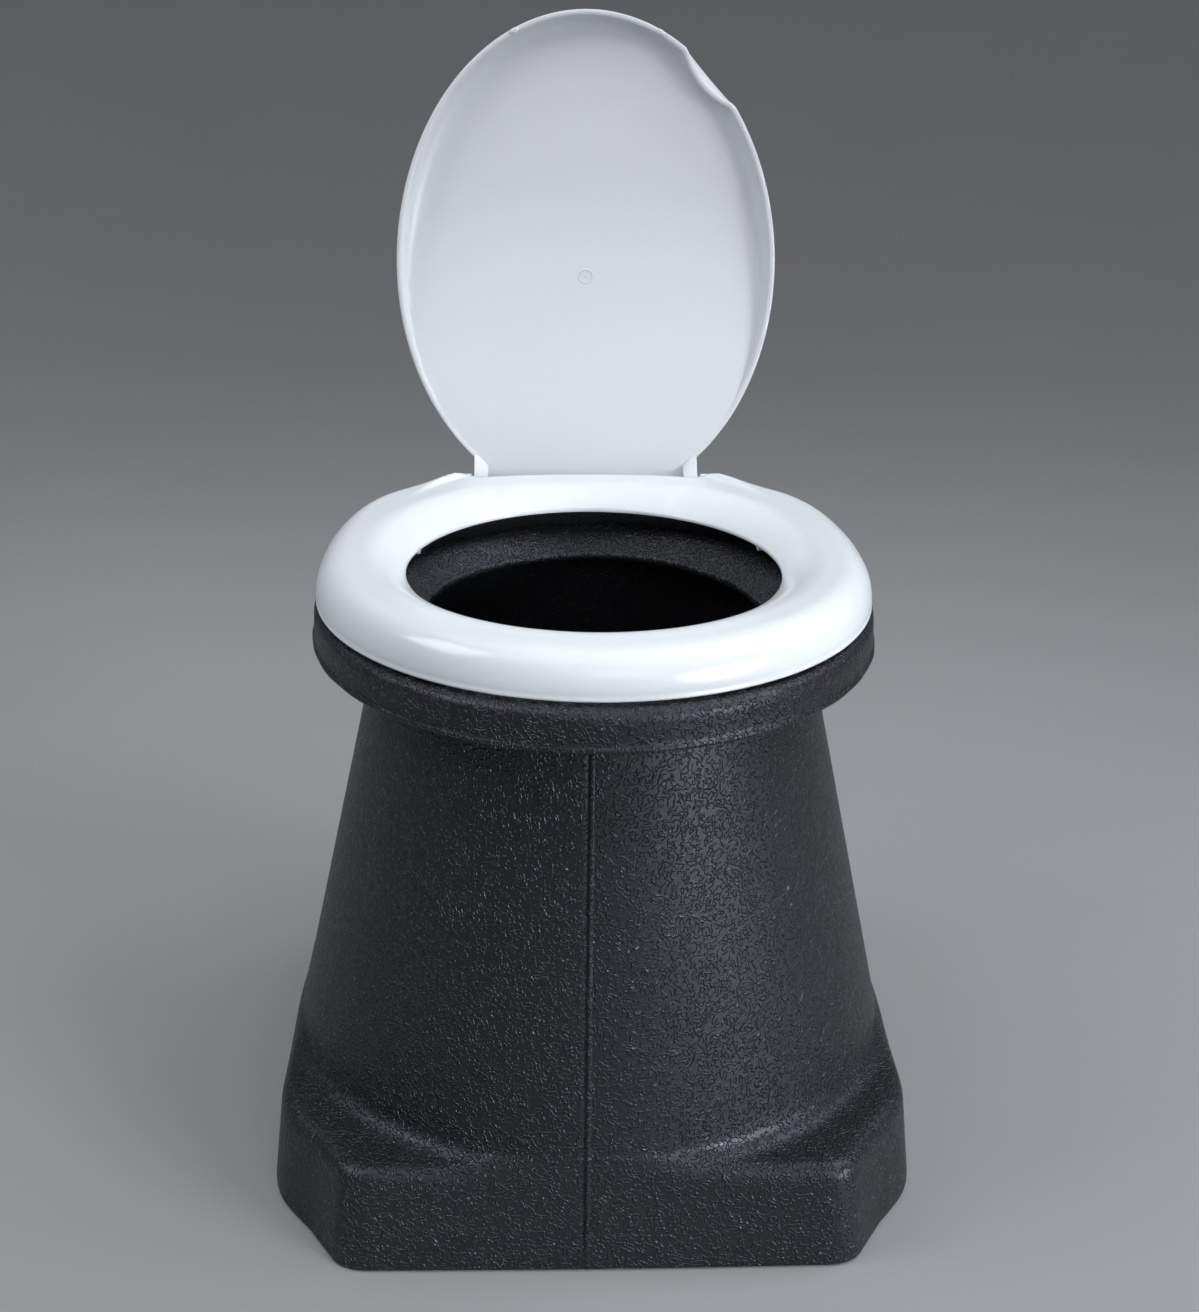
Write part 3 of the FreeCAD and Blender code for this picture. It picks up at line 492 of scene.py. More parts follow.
def wing_share(x, y):
    """1 on the wings, 0 on the ground that the closed lid covers, with a soft step between."""
    along = y - (HINGE_Y - LID_CENTRE)
    reach = LID_REAR if along > 0 else LID_FRONT
    outside = math.hypot(x / (LID_HALF_WIDTH + LID_GAP), along / (reach + LID_GAP)) - 1
    begin = smooth_step(EAR_OUTER + 0.2, EAR_OUTER + 2.2, abs(x))
    fade = 1 - smooth_step(WING_FULL, 128, abs(x))
    return smooth_step(0, 0.03, outside) * (begin * fade) * smooth_step(-20, 100, y)


def wing_reach(x):
    """How far the wings run back beside the hinge, past the oval."""
    begin = smooth_step(EAR_OUTER + 0.5, EAR_OUTER + 4, abs(x))
    fade = 1 - smooth_step(WING_FULL, 122, abs(x))
    return WING_REACH * begin * fade


print("seat from", SKIRT, "to", SKIRT + SEAT_RISE, "mm, without the wings")

# %% Loops of the seat
SEAT_TURNS = 360
SEAT_HALF_WIDTH = 175
SEAT_FRONT = 193
SEAT_REAR = 178
SEAT_REAR_POWER = 2.7
HOLE_HALF_WIDTH = 119
HOLE_HALF_LENGTH = 130
HOLE_OFFSET = 0.5
SEAT_WALL = 3.6
WING_HEIGHT = 3.4
SHOULDER_FRONT = 0.36
SHOULDER_LOSS = 0.24


def seat_loop(across, inset, level):
    """A loop at a share of the way across; level is a height, or None to follow the dome."""
    loop = []
    for step in range(SEAT_TURNS):
        angle = 2 * math.pi * step / SEAT_TURNS
        c, s = math.cos(angle), math.sin(angle)
        if s > 0:
            reach = square_radius(angle, SEAT_HALF_WIDTH - inset, SEAT_REAR - inset, SEAT_REAR_POWER)
            x1, y1 = reach * c, reach * s
            y1 += wing_reach(x1)
        else:
            x1, y1 = (SEAT_HALF_WIDTH - inset) * c, (SEAT_FRONT - inset) * s
        x2, y2 = (HOLE_HALF_WIDTH - inset) * c, (HOLE_HALF_LENGTH - inset) * s + HOLE_OFFSET
        x = x1 + (x2 - x1) * across
        y = y1 + (y2 - y1) * across
        z = level
        if level is None:
            shoulder = SHOULDER_FRONT - SHOULDER_LOSS * smooth_step(40, 150, y1)
            share = seat_height_share(across, shoulder)
            z = SKIRT + (SEAT_RISE + WING_HEIGHT * wing_share(x, y)) * share - inset
        loop.append((x, y, z))
    return loop

# %% Extrude the seat
SKIRT_BEAD = ((1.2, 0), (0.3, 0), (-0.05, 0.5), (-0.05, 1.5), (0.3, 2.2), (0.3, 4))
HOLE_RIM = ((0.985, 0.35), (0.997, -0.3), (1.004, -1.2), (1, -2.4))
across_steps = [0.003, 0.008, 0.016, 0.027, 0.04, 0.055, 0.075, 0.10, 0.13]
across_steps += [0.16 + 0.022 * step for step in range(37)]
rim_level = SKIRT + SEAT_RISE * RIM_SHARE
seat_rings = [seat_loop(0, inset, SKIRT + rise) for inset, rise in SKIRT_BEAD]
seat_rings += [seat_loop(across, 0, None) for across in across_steps]
seat_rings += [seat_loop(across, 0, rim_level + rise) for across, rise in HOLE_RIM]
seat_rings += [seat_loop(across, SEAT_WALL, None) for across in reversed(across_steps[::2])]
seat_rings += [seat_loop(0, SEAT_WALL, SKIRT), seat_rings[0]]
seat = extrude_rings("seat", seat_rings, smooth_angle=60)

# %% [markdown]
# ## Lugs on the hinge pin
# The hinge works like a door's: flat knuckles sit side by side on one pin. Each knuckle is a plate with a
# round end. It is drawn as one loop seen along the pin and pushed through its width, with eased edges.
# The two small tabs in the hole of the seat are pushed in the same way.

# %% Helper: a knuckle on the hinge pin
KNUCKLE = 4.5


def middle_of(loop):
    return tuple(sum(point[axis] for point in loop) / len(loop) for axis in (0, 1))


def shrink(loop, amount):
    """The loop moved in from its edge, all round, by scaling it about its middle."""
    middle = middle_of(loop)
    reach = max(math.dist(point, middle) for point in loop)
    keep = 1 - amount / reach
    return [tuple(m + (p - m) * keep for p, m in zip(point, middle)) for point in loop]


def knuckle(name, loop, x_low, x_high, ease=0.8):
    """Push a loop of (y, z) points from x_low to x_high, with eased edges."""
    inner = shrink(loop, ease)
    centre = [middle_of(loop)] * len(loop)
    layers = [(x_low, centre), (x_low, inner), (x_low + ease, loop), (x_high - ease, loop),
              (x_high, inner), (x_high, centre)]
    rings = [[(x, y, z) for y, z in layer] for x, layer in layers]
    return extrude_rings(name, rings, smooth_angle=30)


def round_end(y, z, radius, start, stop, count):
    points = []
    for step in range(count):
        angle = math.radians(start + (stop - start) * step / (count - 1))
        points.append((y + radius * math.cos(angle), z + radius * math.sin(angle)))
    return points

# %% Seat lugs and rim tabs, joined to the seat
LUG_INNER = 83.1
LUG_OUTER = 90.4
TAB_PLACES = ((-114.5, 46), (112, 53))
TAB_HALF_WIDTH = 2.2
TAB_SECTION = ((-3.4, 376.6), (3.4, 376.6), (4, 379), (3.4, 381.6), (-3.4, 381.6), (-4, 379))


def join_to(piece, parts):
    deselect()
    for part in parts:
        part.select_set(True)
    piece.select_set(True)
    bpy.context.view_layer.objects.active = piece
    bpy.ops.object.join()


lug_loop = [(156, 382.8), (160, 382.5)]
lug_loop += round_end(HINGE_Y, HINGE_Z, KNUCKLE, -90, 130, 19)
lug_loop += [(172, 387.5), (158, 387)]
seat_parts = [knuckle("lug", lug_loop, LUG_INNER, LUG_OUTER)]
seat_parts.append(knuckle("lug", lug_loop, -LUG_OUTER, -LUG_INNER))
for x, y in TAB_PLACES:
    tab_loop = [(y + along, level) for along, level in TAB_SECTION]
    seat_parts.append(knuckle("tab", tab_loop, x - TAB_HALF_WIDTH, x + TAB_HALF_WIDTH, ease=0.6))
join_to(seat, seat_parts)
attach(seat, "seat")
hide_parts("seat_ring")

# %% [markdown]
# ## The lid
# The lid is a shallow dish, drawn closed and then swung open by 100 degrees. Its loops run out from the
# middle of the inner face, down the inside of the rim, round the rim, up the outside and back to the
# middle of the back. Near the hinge the dish slopes down to a flat neck with straight sides. A finger
# scoop presses the rim inwards on one side, while the plate above it keeps its outline.

# %% Outline and top of the lid
OPEN = math.radians(100)
NECK_JOIN = 16
NECK_TAIL = -3
NECK_LEVEL = 12
DISH_DEPTH = 16
neck_start = math.degrees(math.asin((LID_CENTRE - NECK_JOIN) / LID_REAR))


def lid_top(s):
    """Height of the lid's top above the hinge axis, at a distance s from the axis."""
    return NECK_LEVEL + DISH_DEPTH * smooth_step(15, 205, s)


def swing(x, s, d):
    """From the closed lid (s forward from the hinge axis, d above it) to the open one."""
    y = -s * math.cos(OPEN) + d * math.sin(OPEN)
    z = s * math.sin(OPEN) + d * math.cos(OPEN)
    return (x, HINGE_Y + y, HINGE_Z + z)


def lid_outline(degrees, inset, tail_inset, press):
    """(x, s) on the lid's outline, moved in by inset; near the hinge it follows the straight neck."""
    from_rear = abs(degrees - 90)
    in_neck = from_rear < 90 - neck_start
    turn = math.radians(degrees)
    if in_neck:
        turn = math.radians(neck_start)
    reach = LID_REAR if degrees < 180 else LID_FRONT
    x = (LID_HALF_WIDTH - inset - press) * math.cos(turn)
    s = LID_CENTRE - (reach - inset - press) * math.sin(turn)
    if not in_neck:
        return x, s
    side = 1 if degrees < 90 else -1
    half = EAR_OUTER - inset * 0.6
    tail = NECK_TAIL + tail_inset
    gone = (1 - from_rear / (90 - neck_start)) * (half + s - tail)
    if gone < s - tail:
        return side * half, s - gone
    return side * (half - gone + s - tail), tail


print("the lid's neck spans", round(180 - 2 * neck_start), "degrees of its outline")

# %% Loops of the lid
LID_TURNS = 360
SCOOP_AT = 310.8
SCOOP_HALF = 9.6
PLATE = 3
RIM_PLATE = 3.3
MIDDLE_LOOPS = 11
MIDDLE_SHARE = 0.078
INNER_FACE = ((24, 25, 0), (20, 25, 0), (16.5, 24.9, 0), (13.5, 24.5, 0), (10.8, 23.7, 0), (8.6, 22.4, 1),
              (7, 20.6, 2.4), (6, 18.4, 4), (5.2, 16, 6), (4.6, 13.5, 7.6), (4.2, 11.2, 8), (3.8, 10.4, 8))
RIM_EDGE = ((3.2, 10, 8), (2.0, 9.9, 8), (0.9, 10, 8))
OUTER_FACE = ((0.2, 10.4, 8), (0, 11.2, 7.6), (0, 14, 5), (0.1, 17, 3), (0.6, 19.6, 2.2), (1.7, 22, 1.5),
              (3.4, 24, 0.8), (5.8, 25.6, 0), (9, 26.8, 0), (13, 27.6, 0), (18, 28, 0), (24, 28, 0))


def lid_loop(inset, d, scoop=0, under=0, share=1):
    """A loop moved in by inset and drawn in to a share; its height d stops under the lid's top."""
    loop = []
    for step in range(LID_TURNS):
        degrees = 360 * step / LID_TURNS
        away = abs(degrees - SCOOP_AT) / SCOOP_HALF
        press = scoop * max(1 - away ** 2, 0)
        x, s = lid_outline(degrees, inset, inset if under else 0, press)
        x = share * x
        s = LID_CENTRE + share * (s - LID_CENTRE)
        loop.append(swing(x, s, min(d, lid_top(s) - under)))
    return loop


crown = NECK_LEVEL + DISH_DEPTH
middle_shares = [MIDDLE_SHARE * step for step in range(MIDDLE_LOOPS)]
lid_rings = [lid_loop(0, crown - PLATE, under=PLATE, share=share) for share in middle_shares]
lid_rings += [lid_loop(*place, under=PLATE) for place in INNER_FACE]
lid_rings += [lid_loop(*place, under=RIM_PLATE) for place in RIM_EDGE]
lid_rings += [lid_loop(*place) for place in OUTER_FACE]
lid_rings += [lid_loop(0, crown, share=share) for share in reversed(middle_shares)]
lid = extrude_rings("lid_dish", lid_rings, smooth_angle=50)

# %% [markdown]
# ## Ears and the gate mark
# Two ears carry the pin. Each runs up the neck's edge as a short rib. In the middle of the inner face
# sits the mark that the injection gate leaves: a low ring round a small cut-off stub.

# %% Ears of the lid
EAR_INNER = 71
EAR_LAYERS = ((EAR_INNER, 9, 5), (EAR_INNER, 9, 0.7), (EAR_INNER + 0.7, 9.6, 0), (75, 13, 0),
              (EAR_OUTER - 0.9, 17.4, 0), (EAR_OUTER - 0.1, 17.8, 0.7), (EAR_OUTER - 0.1, 17.8, 5))


def ear_loop(x, top, ease):
    """The outline of an ear in the plane at x: a round end on the pin and a rib that runs up to top."""
    profile = round_end(0, 0, KNUCKLE, 0, -180, 19)
    profile += [(-KNUCKLE, 6), (-3, 9.6), (top, 9.6), (top + 0.8, 8.8), ((top + KNUCKLE) / 2, 4.2)]
    return [swing(x, s, d) for s, d in shrink(profile, ease)]


def ear(sign):
    """An ear whose rib slants from the neck's edge down towards the middle."""
    rings = [ear_loop(sign * x, top, ease) for x, top, ease in EAR_LAYERS]
    return extrude_rings("ear", rings, smooth_angle=30)


lid_parts = [ear(1), ear(-1)]

# %% Gate mark, joined to the lid with the ears
GATE_AT = 145
GATE_TURNS = 40
GATE_RING = ((4.2, -0.8), (4.3, 0.1), (4.6, 0.55), (5.1, 0.55), (5.5, 0.1), (5.6, -0.8), (4.2, -0.8))
GATE_STUB = ((0, -0.8), (1.5, -0.8), (1.4, 0.3), (1.1, 0.6), (0.6, 0.5), (0, 0.55))


def gate_rings(steps):
    """Loops round the gate mark, from (radius, height above the inner face) pairs."""
    rings = []
    for radius, rise in steps:
        ring = []
        for step in range(GATE_TURNS):
            angle = 2 * math.pi * step / GATE_TURNS
            s = GATE_AT + radius * math.sin(angle)
            ring.append(swing(radius * math.cos(angle), s, lid_top(s) - PLATE - rise))
        rings.append(ring)
    return rings


lid_parts.append(extrude_rings("gate_ring", gate_rings(GATE_RING)))
lid_parts.append(extrude_rings("gate_stub", gate_rings(GATE_STUB)))
join_to(lid, lid_parts)
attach(lid, "lid")
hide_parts("lid")

# %% [markdown]
# ## Lid buffers
# Two small nubs on the lid's front rim meet the seat when the lid closes. Each is an oval dome whose long
# way follows the rim. Its loops start inside the rim, so that it grows out of the moulding, and close at
# the tip.

# %% Buffers on the lid's rim
NUB_TURNS = 32
NUB_INSET = 2
NUB_HALF_LENGTH = 3.3
NUB_HALF_WIDTH = 2.1
NUB_PROFILE = ((0, 12), (0.85, 12), (1, 11), (1, 9.5), (0.97, 9.1), (0.9, 8.7), (0.78, 8.3), (0.6, 8.03),
               (0.35, 7.86), (0, 7.8))


def nub_rings(x):
    """Loops of a nub at x on the rim, from (share of its size, height above the hinge axis) pairs."""
    half_width = LID_HALF_WIDTH - NUB_INSET
    front = LID_FRONT - NUB_INSET
    turn = math.acos(x / half_width)
    s = LID_CENTRE + front * math.sin(turn)
    along = Vector((-half_width * math.sin(turn), front * math.cos(turn))).normalized()
    across = Vector((-along.y, along.x))
    rings = []
    for share, d in NUB_PROFILE:
        ring = []
        for step in range(NUB_TURNS):
            angle = 2 * math.pi * step / NUB_TURNS
            way = along * NUB_HALF_LENGTH * math.cos(angle) + across * NUB_HALF_WIDTH * math.sin(angle)
            ring.append(swing(x + share * way.x, s + share * way.y, d))
        rings.append(ring)
    return rings


nubs = []
for side in ("left", "right"):
    low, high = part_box("lid_buffer_" + side)
    middle = (low[0] + high[0]) / 2 / MM
    nub = extrude_rings("lid_nub_" + side, nub_rings(middle), smooth_angle=60)
    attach(nub, "lid")
    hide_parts("lid_buffer_" + side)
    nubs.append(nub)

# %% [markdown]
# ## Finishes
# Two effects are shared. One is the wrinkle etched into the mould: short, worm-like ridges, made from the
# contour lines of a soft noise and broken up by another. The other is a fine grain with faint clouds and
# a few specks of dust, which keeps any plastic from looking like a flat colour. Each is a group, built
# once, that gives out values.

# %% Helpers: node groups
def new_group(name, inputs, outputs):
    group = bpy.data.node_groups.new(name, "ShaderNodeTree")
    for label, kind, value in inputs:
        socket = group.interface.new_socket(name=label, in_out="INPUT", socket_type=kind)
        if value is not None:
            socket.default_value = value
    for label, kind in outputs:
        group.interface.new_socket(name=label, in_out="OUTPUT", socket_type=kind)
    start = group.nodes.new("NodeGroupInput")
    end = group.nodes.new("NodeGroupOutput")
    return group, start, end


def add_node(tree, kind, **settings):
    node = tree.nodes.new(kind)
    for key, value in settings.items():
        setattr(node, key, value)
    return node


def math_node(tree, operation, first, second=None):
    node = add_node(tree, "ShaderNodeMath", operation=operation)
    for socket, value in zip(node.inputs, (first, second)):
        if value is None:
            continue
        if isinstance(value, (int, float)):
            socket.default_value = value
        else:
            tree.links.new(value, socket)
    return node.outputs[0]


def noise_node(tree, vector, scale, detail=2.0, roughness=0.5):
    node = add_node(tree, "ShaderNodeTexNoise")
    tree.links.new(vector, node.inputs["Vector"])
    for label, value in (("Scale", scale), ("Detail", detail), ("Roughness", roughness)):
        if isinstance(value, (int, float)):
            node.inputs[label].default_value = value
        else:
            tree.links.new(value, node.inputs[label])
    return node.outputs["Fac"]


def spread_node(tree, value, low, high, to_low=0.0, to_high=1.0, smooth=True):
    node = add_node(tree, "ShaderNodeMapRange", interpolation_type="SMOOTHSTEP" if smooth else "LINEAR")
    tree.links.new(value, node.inputs["Value"])
    for label, number in (("From Min", low), ("From Max", high), ("To Min", to_low), ("To Max", to_high)):
        node.inputs[label].default_value = number
    return node.outputs["Result"]

# %% Wrinkle group
wrinkle_group, start, end = new_group(
    "mould wrinkle",
    [("Vector", "NodeSocketVector", None), ("Scale", "NodeSocketFloat", 340.0)],
    [("Ridge", "NodeSocketFloat"), ("Patch", "NodeSocketFloat")])
tree = wrinkle_group
vector = start.outputs["Vector"]
field = noise_node(tree, vector, start.outputs["Scale"], detail=0.0)
contour = math_node(tree, "ABSOLUTE", math_node(tree, "SUBTRACT", field, 0.5))
worms = spread_node(tree, contour, low=0.01, high=0.12, to_low=1.0, to_high=0.0)
wider = math_node(tree, "MULTIPLY", start.outputs["Scale"], 0.7)
breaks = noise_node(tree, vector, wider, detail=0.0)
ridge = math_node(tree, "MULTIPLY", worms, spread_node(tree, breaks, low=0.30, high=0.46))
patch = spread_node(tree, noise_node(tree, vector, scale=24.0), low=0.3, high=0.7)
tree.links.new(ridge, end.inputs["Ridge"])
tree.links.new(patch, end.inputs["Patch"])
print("group", tree.name)

# %% Grain and dust group
grain_group, start, end = new_group(
    "plastic grain",
    [("Vector", "NodeSocketVector", None), ("Scale", "NodeSocketFloat", 900.0)],
    [("Grain", "NodeSocketFloat"), ("Cloud", "NodeSocketFloat"), ("Specks", "NodeSocketFloat")])
tree = grain_group
vector = start.outputs["Vector"]
grain = noise_node(tree, vector, start.outputs["Scale"], roughness=0.6)
cloud = noise_node(tree, vector, scale=9.0, detail=3.0)
dots = add_node(tree, "ShaderNodeTexVoronoi", feature="F1")
dots.inputs["Scale"].default_value = 120.0
tree.links.new(vector, dots.inputs["Vector"])
chosen = add_node(tree, "ShaderNodeSeparateColor")
tree.links.new(dots.outputs["Color"], chosen.inputs["Color"])
near = spread_node(tree, dots.outputs["Distance"], low=0.05, high=0.09, to_low=1.0, to_high=0.0)
few = math_node(tree, "GREATER_THAN", chosen.outputs["Red"], 0.9)
tree.links.new(grain, end.inputs["Grain"])
tree.links.new(cloud, end.inputs["Cloud"])
tree.links.new(math_node(tree, "MULTIPLY", near, few), end.inputs["Specks"])
print("group", tree.name)

# %% Helper: start a material
def new_material(name):
    material = bpy.data.materials.new(name)
    material.use_nodes = True
    tree = material.node_tree
    shader = tree.nodes["Principled BSDF"]
    place = add_node(tree, "ShaderNodeTexCoord")
    return material, tree, shader, place.outputs["Object"]


def place_group(tree, group, vector, scale):
    node = add_node(tree, "ShaderNodeGroup", node_tree=group)
    tree.links.new(vector, node.inputs["Vector"])
    node.inputs["Scale"].default_value = scale
    return node


def mix_colour(tree, share, first, second):
    node = add_node(tree, "ShaderNodeMix", data_type="RGBA")
    tree.links.new(share, node.inputs["Factor"])
    for label, colour in (("A", first), ("B", second)):
        socket = next(s for s in node.inputs if s.name == label and s.type == "RGBA")
        if isinstance(colour, tuple):
            socket.default_value = (*colour, 1)
        else:
            tree.links.new(colour, socket)
    return next(s for s in node.outputs if s.type == "RGBA")


def add_bump(tree, shader, height, strength, distance):
    bump = add_node(tree, "ShaderNodeBump")
    bump.inputs["Strength"].default_value = strength
    bump.inputs["Distance"].default_value = distance
    tree.links.new(height, bump.inputs["Height"])
    tree.links.new(bump.outputs["Normal"], shader.inputs["Normal"])


def dress(piece, material):
    piece.data.materials.clear()
    piece.data.materials.append(material)
    print(material.name, "on", piece.name)

# %% [markdown]
# ## The black skin
# The moulding is charcoal black with a satin sheen. Outside, the wrinkle covers everything; it is weaker
# on the turned-in lip and almost gone inside, so it is weighed by the number painted on the rings. The
# ridges' tops are painted a little lighter, as a painted glint.

# %% Black moulded plastic
black, tree, shader, vector = new_material("black_moulding")
wrinkle = place_group(tree, wrinkle_group, vector, 340.0)
grain = place_group(tree, grain_group, vector, 1100.0)
painted = add_node(tree, "ShaderNodeAttribute", attribute_name="skin")
weight = painted.outputs["Fac"]
patchy = spread_node(tree, wrinkle.outputs["Patch"], 0.0, 1.0, to_low=0.6, to_high=1.0, smooth=False)
ridge = math_node(tree, "MULTIPLY", wrinkle.outputs["Ridge"], patchy)
ridge = math_node(tree, "MULTIPLY", ridge, weight)
colour = mix_colour(tree, grain.outputs["Cloud"], (0.0036, 0.0038, 0.0046), (0.0056, 0.0059, 0.007))
# Painted glint: the wrinkle's ridges get a lighter base colour, on top of their glossier roughness.
colour = mix_colour(tree, ridge, colour, (0.012, 0.0124, 0.0145))
colour = mix_colour(tree, grain.outputs["Specks"], colour, (0.05, 0.05, 0.052))
tree.links.new(colour, shader.inputs["Base Color"])
rough = spread_node(tree, ridge, 0.0, 1.0, to_low=0.46, to_high=0.24, smooth=False)
tree.links.new(rough, shader.inputs["Roughness"])
height = math_node(tree, "ADD", ridge, math_node(tree, "MULTIPLY", grain.outputs["Grain"], 0.12))
add_bump(tree, shader, height, strength=1.0, distance=0.0009)
shader.inputs["Specular IOR Level"].default_value = 0.6
shader.inputs["Specular Tint"].default_value = (0.84, 0.89, 1.0, 1)
dress(pedestal, black)

# %% [markdown]
# ## White plastics
# The seat is polished, the lid a little duller, and the hinge parts and buffers duller still. All are
# white with a hint of cloudiness and a very fine grain, which breaks the reflections just enough. The
# lid's white is also set a little darker than the seat's, as painted shade.

# %% White seat, lid, hinge and buffer plastics
def white_plastic(name, light, dark, roughness, grain_height):
    """roughness is a (lowest, highest) pair that follows the clouds."""
    material, tree, shader, vector = new_material(name)
    grain = place_group(tree, grain_group, vector, 700.0)
    cloud = spread_node(tree, grain.outputs["Cloud"], low=0.3, high=0.7)
    tree.links.new(mix_colour(tree, cloud, dark, light), shader.inputs["Base Color"])
    rough = spread_node(tree, cloud, 0.0, 1.0, *roughness, smooth=False)
    tree.links.new(rough, shader.inputs["Roughness"])
    height = math_node(tree, "MULTIPLY", grain.outputs["Grain"], grain_height)
    add_bump(tree, shader, height, strength=0.5, distance=0.0001)
    return material


seat_white = white_plastic("seat_white", light=(0.73, 0.757, 0.80), dark=(0.71, 0.737, 0.78),
                           roughness=(0.16, 0.22), grain_height=0.15)
# Painted shade: the lid's white is a little darker than the seat's, for the lesser light on its upright
# inner face.
lid_white = white_plastic("lid_white", light=(0.675, 0.688, 0.718), dark=(0.66, 0.673, 0.703),
                          roughness=(0.28, 0.36), grain_height=0.3)
hinge_white = white_plastic("hinge_white", light=(0.76, 0.765, 0.775), dark=(0.72, 0.725, 0.735),
                            roughness=(0.32, 0.42), grain_height=0.4)
buffer_white = white_plastic("buffer_white", light=(0.70, 0.70, 0.70), dark=(0.64, 0.64, 0.64),
                             roughness=(0.5, 0.6), grain_height=0.8)
dress(seat, seat_white)
dress(lid, lid_white)
for nub in nubs:
    dress(nub, buffer_white)

# %% [markdown]
# ## Rubber and steel
# The gaskets and the washers under the flange are black rubber with a dry, grainy face. The pins, studs
# and flat washers are bright zinc-plated steel: metallic, with a fine uneven polish.

# %% Rubber and steel
rubber, tree, shader, vector = new_material("rubber")
grain = place_group(tree, grain_group, vector, 1500.0)
colour = mix_colour(tree, grain.outputs["Cloud"], (0.018, 0.018, 0.018), (0.032, 0.032, 0.032))
tree.links.new(colour, shader.inputs["Base Color"])
rough = spread_node(tree, grain.outputs["Grain"], 0.2, 0.8, to_low=0.65, to_high=0.85)
tree.links.new(rough, shader.inputs["Roughness"])
add_bump(tree, shader, grain.outputs["Grain"], strength=0.4, distance=0.0001)

steel, tree, shader, vector = new_material("steel")
grain = place_group(tree, grain_group, vector, 1800.0)
colour = mix_colour(tree, grain.outputs["Cloud"], (0.50, 0.50, 0.49), (0.62, 0.62, 0.61))
tree.links.new(colour, shader.inputs["Base Color"])
rough = spread_node(tree, grain.outputs["Grain"], 0.2, 0.8, to_low=0.24, to_high=0.40)
tree.links.new(rough, shader.inputs["Roughness"])
shader.inputs["Metallic"].default_value = 1.0
add_bump(tree, shader, grain.outputs["Grain"], strength=0.2, distance=0.00005)
print("materials", rubber.name, steel.name)

# %% [markdown]
# ## Finishes of the measured solids
# The hinge hardware and the buffers under the seat keep their measured shapes, because these are right as
# they are. Only their materials change, chosen by how each name starts.

# %% Give the measured solids their finishes
FINISH_OF = {"hinge_post": hinge_white, "wing_nut": hinge_white, "seat_buffer": buffer_white,
             "post_gasket": rubber, "flange_washer": rubber,
             "hinge_stud": steel, "stud_washer": steel, "hinge_pin": steel}
finished = 0
for node_name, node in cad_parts.items():
    for start_of_name, material in FINISH_OF.items():
        if node_name.startswith(start_of_name):
            for slot in node.material_slots:
                slot.material = material
            finished += 1
print("finished", finished, "of", len(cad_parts), "measured solids")

# %% [markdown]
# ## Floor and backdrop
# A plain pale floor that rises all round into a backdrop, like a wide shallow bowl, so that every view
# has the same quiet ground. It is a circle, extruded outwards ring by ring, with a slope that starts very
# gently.

# %% Floor and backdrop
FLAT_RADIUS = 1.6
BOWL_STEPS = 40
BOWL_STRIDE = 0.11
BOWL_STEEPEST = math.radians(85)
deselect()
bpy.ops.mesh.primitive_circle_add(vertices=128, radius=FLAT_RADIUS, fill_type="NGON")
floor = bpy.context.object
floor.name = "floor"
bpy.ops.object.mode_set(mode="EDIT")
mesh = bmesh.from_edit_mesh(floor.data)
for face in mesh.faces:
    face.select_set(False)
for edge in mesh.edges:
    edge.select_set(True)
bmesh.update_edit_mesh(floor.data)
reach, level = FLAT_RADIUS, 0
for step in range(BOWL_STEPS):
    slope = BOWL_STEEPEST * smooth_step(0, BOWL_STEPS, step)
    reach += BOWL_STRIDE * math.cos(slope)
    level += BOWL_STRIDE * math.sin(slope)
    bpy.ops.mesh.extrude_edges_move()
    mesh = bmesh.from_edit_mesh(floor.data)
    for vert in mesh.verts:
        if vert.select:
            stretch = reach / vert.co.xy.length
            vert.co = (vert.co.x * stretch, vert.co.y * stretch, level)
    bmesh.update_edit_mesh(floor.data)
bpy.ops.mesh.select_all(action="SELECT")
bpy.ops.mesh.normals_make_consistent(inside=False)
bpy.ops.object.mode_set(mode="OBJECT")
bpy.ops.object.shade_smooth()
floor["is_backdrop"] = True

pale, tree, shader, vector = new_material("pale_floor")
cloud = noise_node(tree, vector, scale=3.0)
colour = mix_colour(tree, cloud, (0.31, 0.312, 0.318), (0.33, 0.332, 0.338))
tree.links.new(colour, shader.inputs["Base Color"])
shader.inputs["Roughness"].default_value = 0.9
shader.inputs["Specular IOR Level"].default_value = 0.1
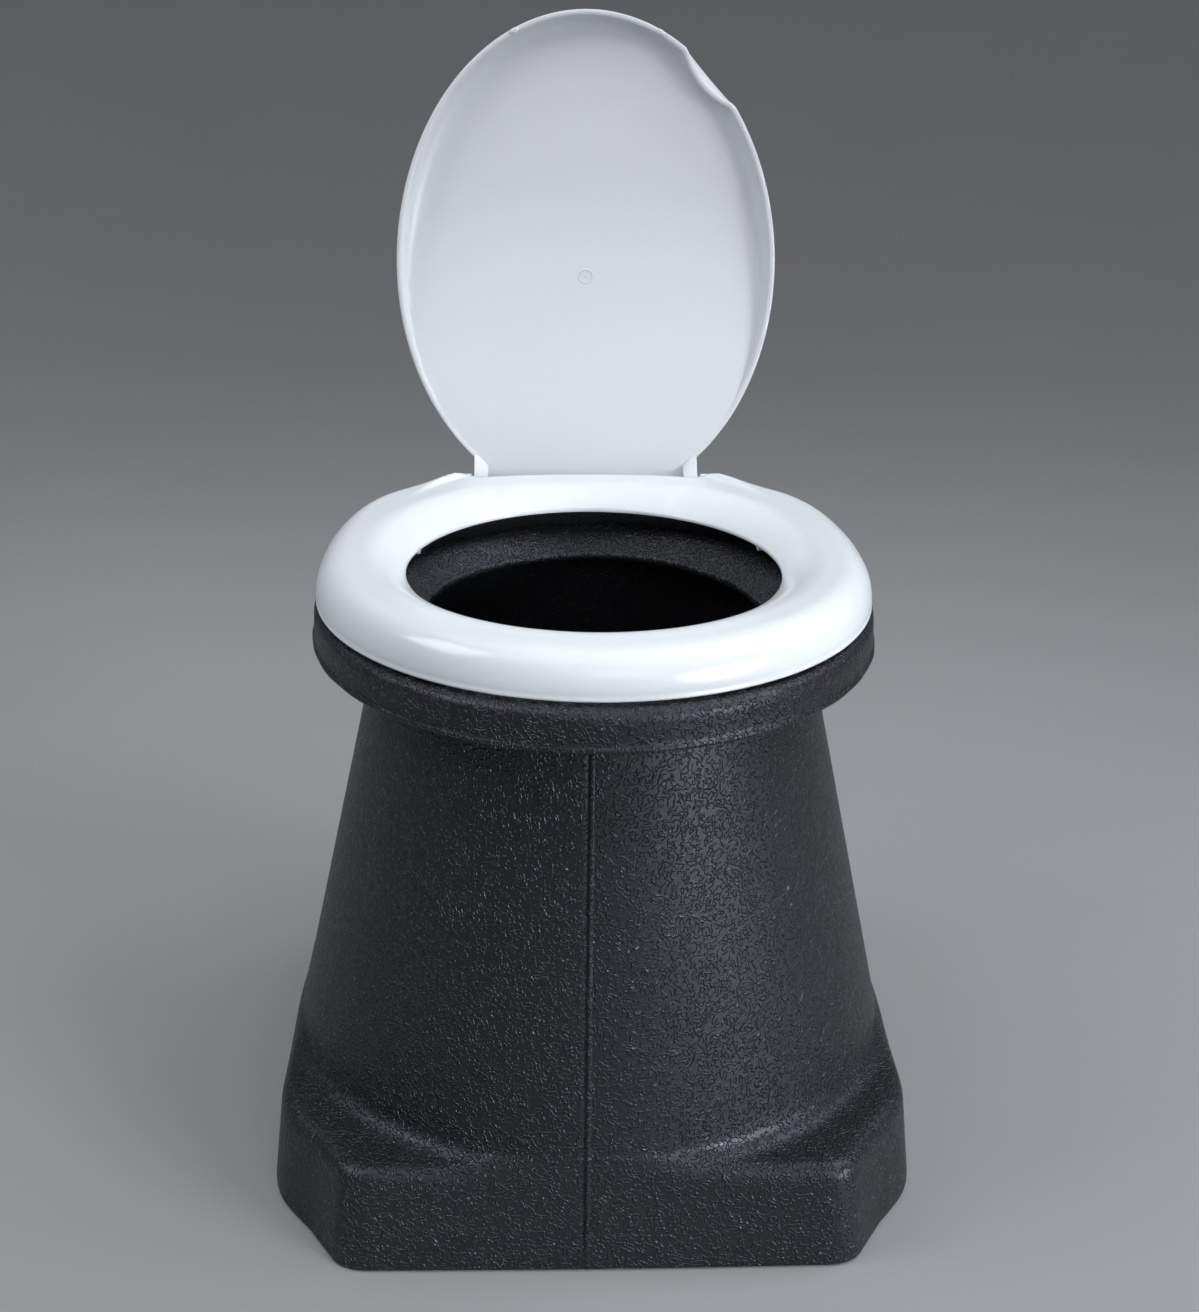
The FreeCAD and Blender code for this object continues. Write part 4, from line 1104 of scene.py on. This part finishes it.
dress(floor, pale)

# %% [markdown]
# ## Light
# The light is soft and comes from several panels. A wide one overhead keeps the white plastic even, and
# two high ones at the sides light the seat and glint on the plinth's ridges. A low panel at the right,
# with a narrow spread that spares the floor, shapes the black neck. A weak one behind the camera opens
# the inside of the lid.

# %% Lamps
COOL = (0.95, 0.97, 1.0)


def soft_lamp(name, place, aim, size, power, colour):
    deselect()
    bpy.ops.object.light_add(type="AREA", location=place)
    lamp = bpy.context.object
    lamp.name = name
    lamp.data.shape = "RECTANGLE"
    lamp.data.size, lamp.data.size_y = size
    lamp.data.energy = power
    lamp.data.color = colour
    lamp.rotation_mode = "QUATERNION"
    lamp.rotation_quaternion = (Vector(aim) - Vector(place)).to_track_quat("-Z", "Y")
    return lamp


soft_lamp("overhead", place=(0, -0.1, 2.6), aim=(0, -0.1, 0), size=(2.6, 2.6), power=23, colour=COOL)
low_right = soft_lamp("low_right", place=(1.5, -1.2, 0.5), aim=(0, 0, 0.1), size=(1.5, 0.8),
                      power=4.2, colour=COOL)
low_right.data.spread = math.radians(40)
soft_lamp("high_right", place=(1.35, 0.1, 1.8), aim=(0, 0, 0.2), size=(1.0, 1.0),
          power=16, colour=(0.9, 0.95, 1.0))
soft_lamp("high_left", place=(-1.6, -0.3, 1.9), aim=(0, 0, 0.4), size=(1.0, 1.0), power=17, colour=COOL)
soft_lamp("front", place=(0.3, -2.3, 1.6), aim=(0, 0, 0.45), size=(1.4, 1.0),
          power=9, colour=(0.98, 0.99, 1.0))

world = bpy.data.worlds.new("studio")
bpy.context.scene.world = world
world.use_nodes = True
sky = world.node_tree.nodes["Background"]
sky.inputs["Color"].default_value = (0.93, 0.96, 1.0, 1)
sky.inputs["Strength"].default_value = 0.25
bpy.context.scene.view_settings.view_transform = "Standard"

# %% [markdown]
# ## Finish
# The box of the dressed object, without the floor, is printed.

# %% Print the dressed object's box
low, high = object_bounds()
print("visual", [round(v, 3) for v in (*low, *high)])
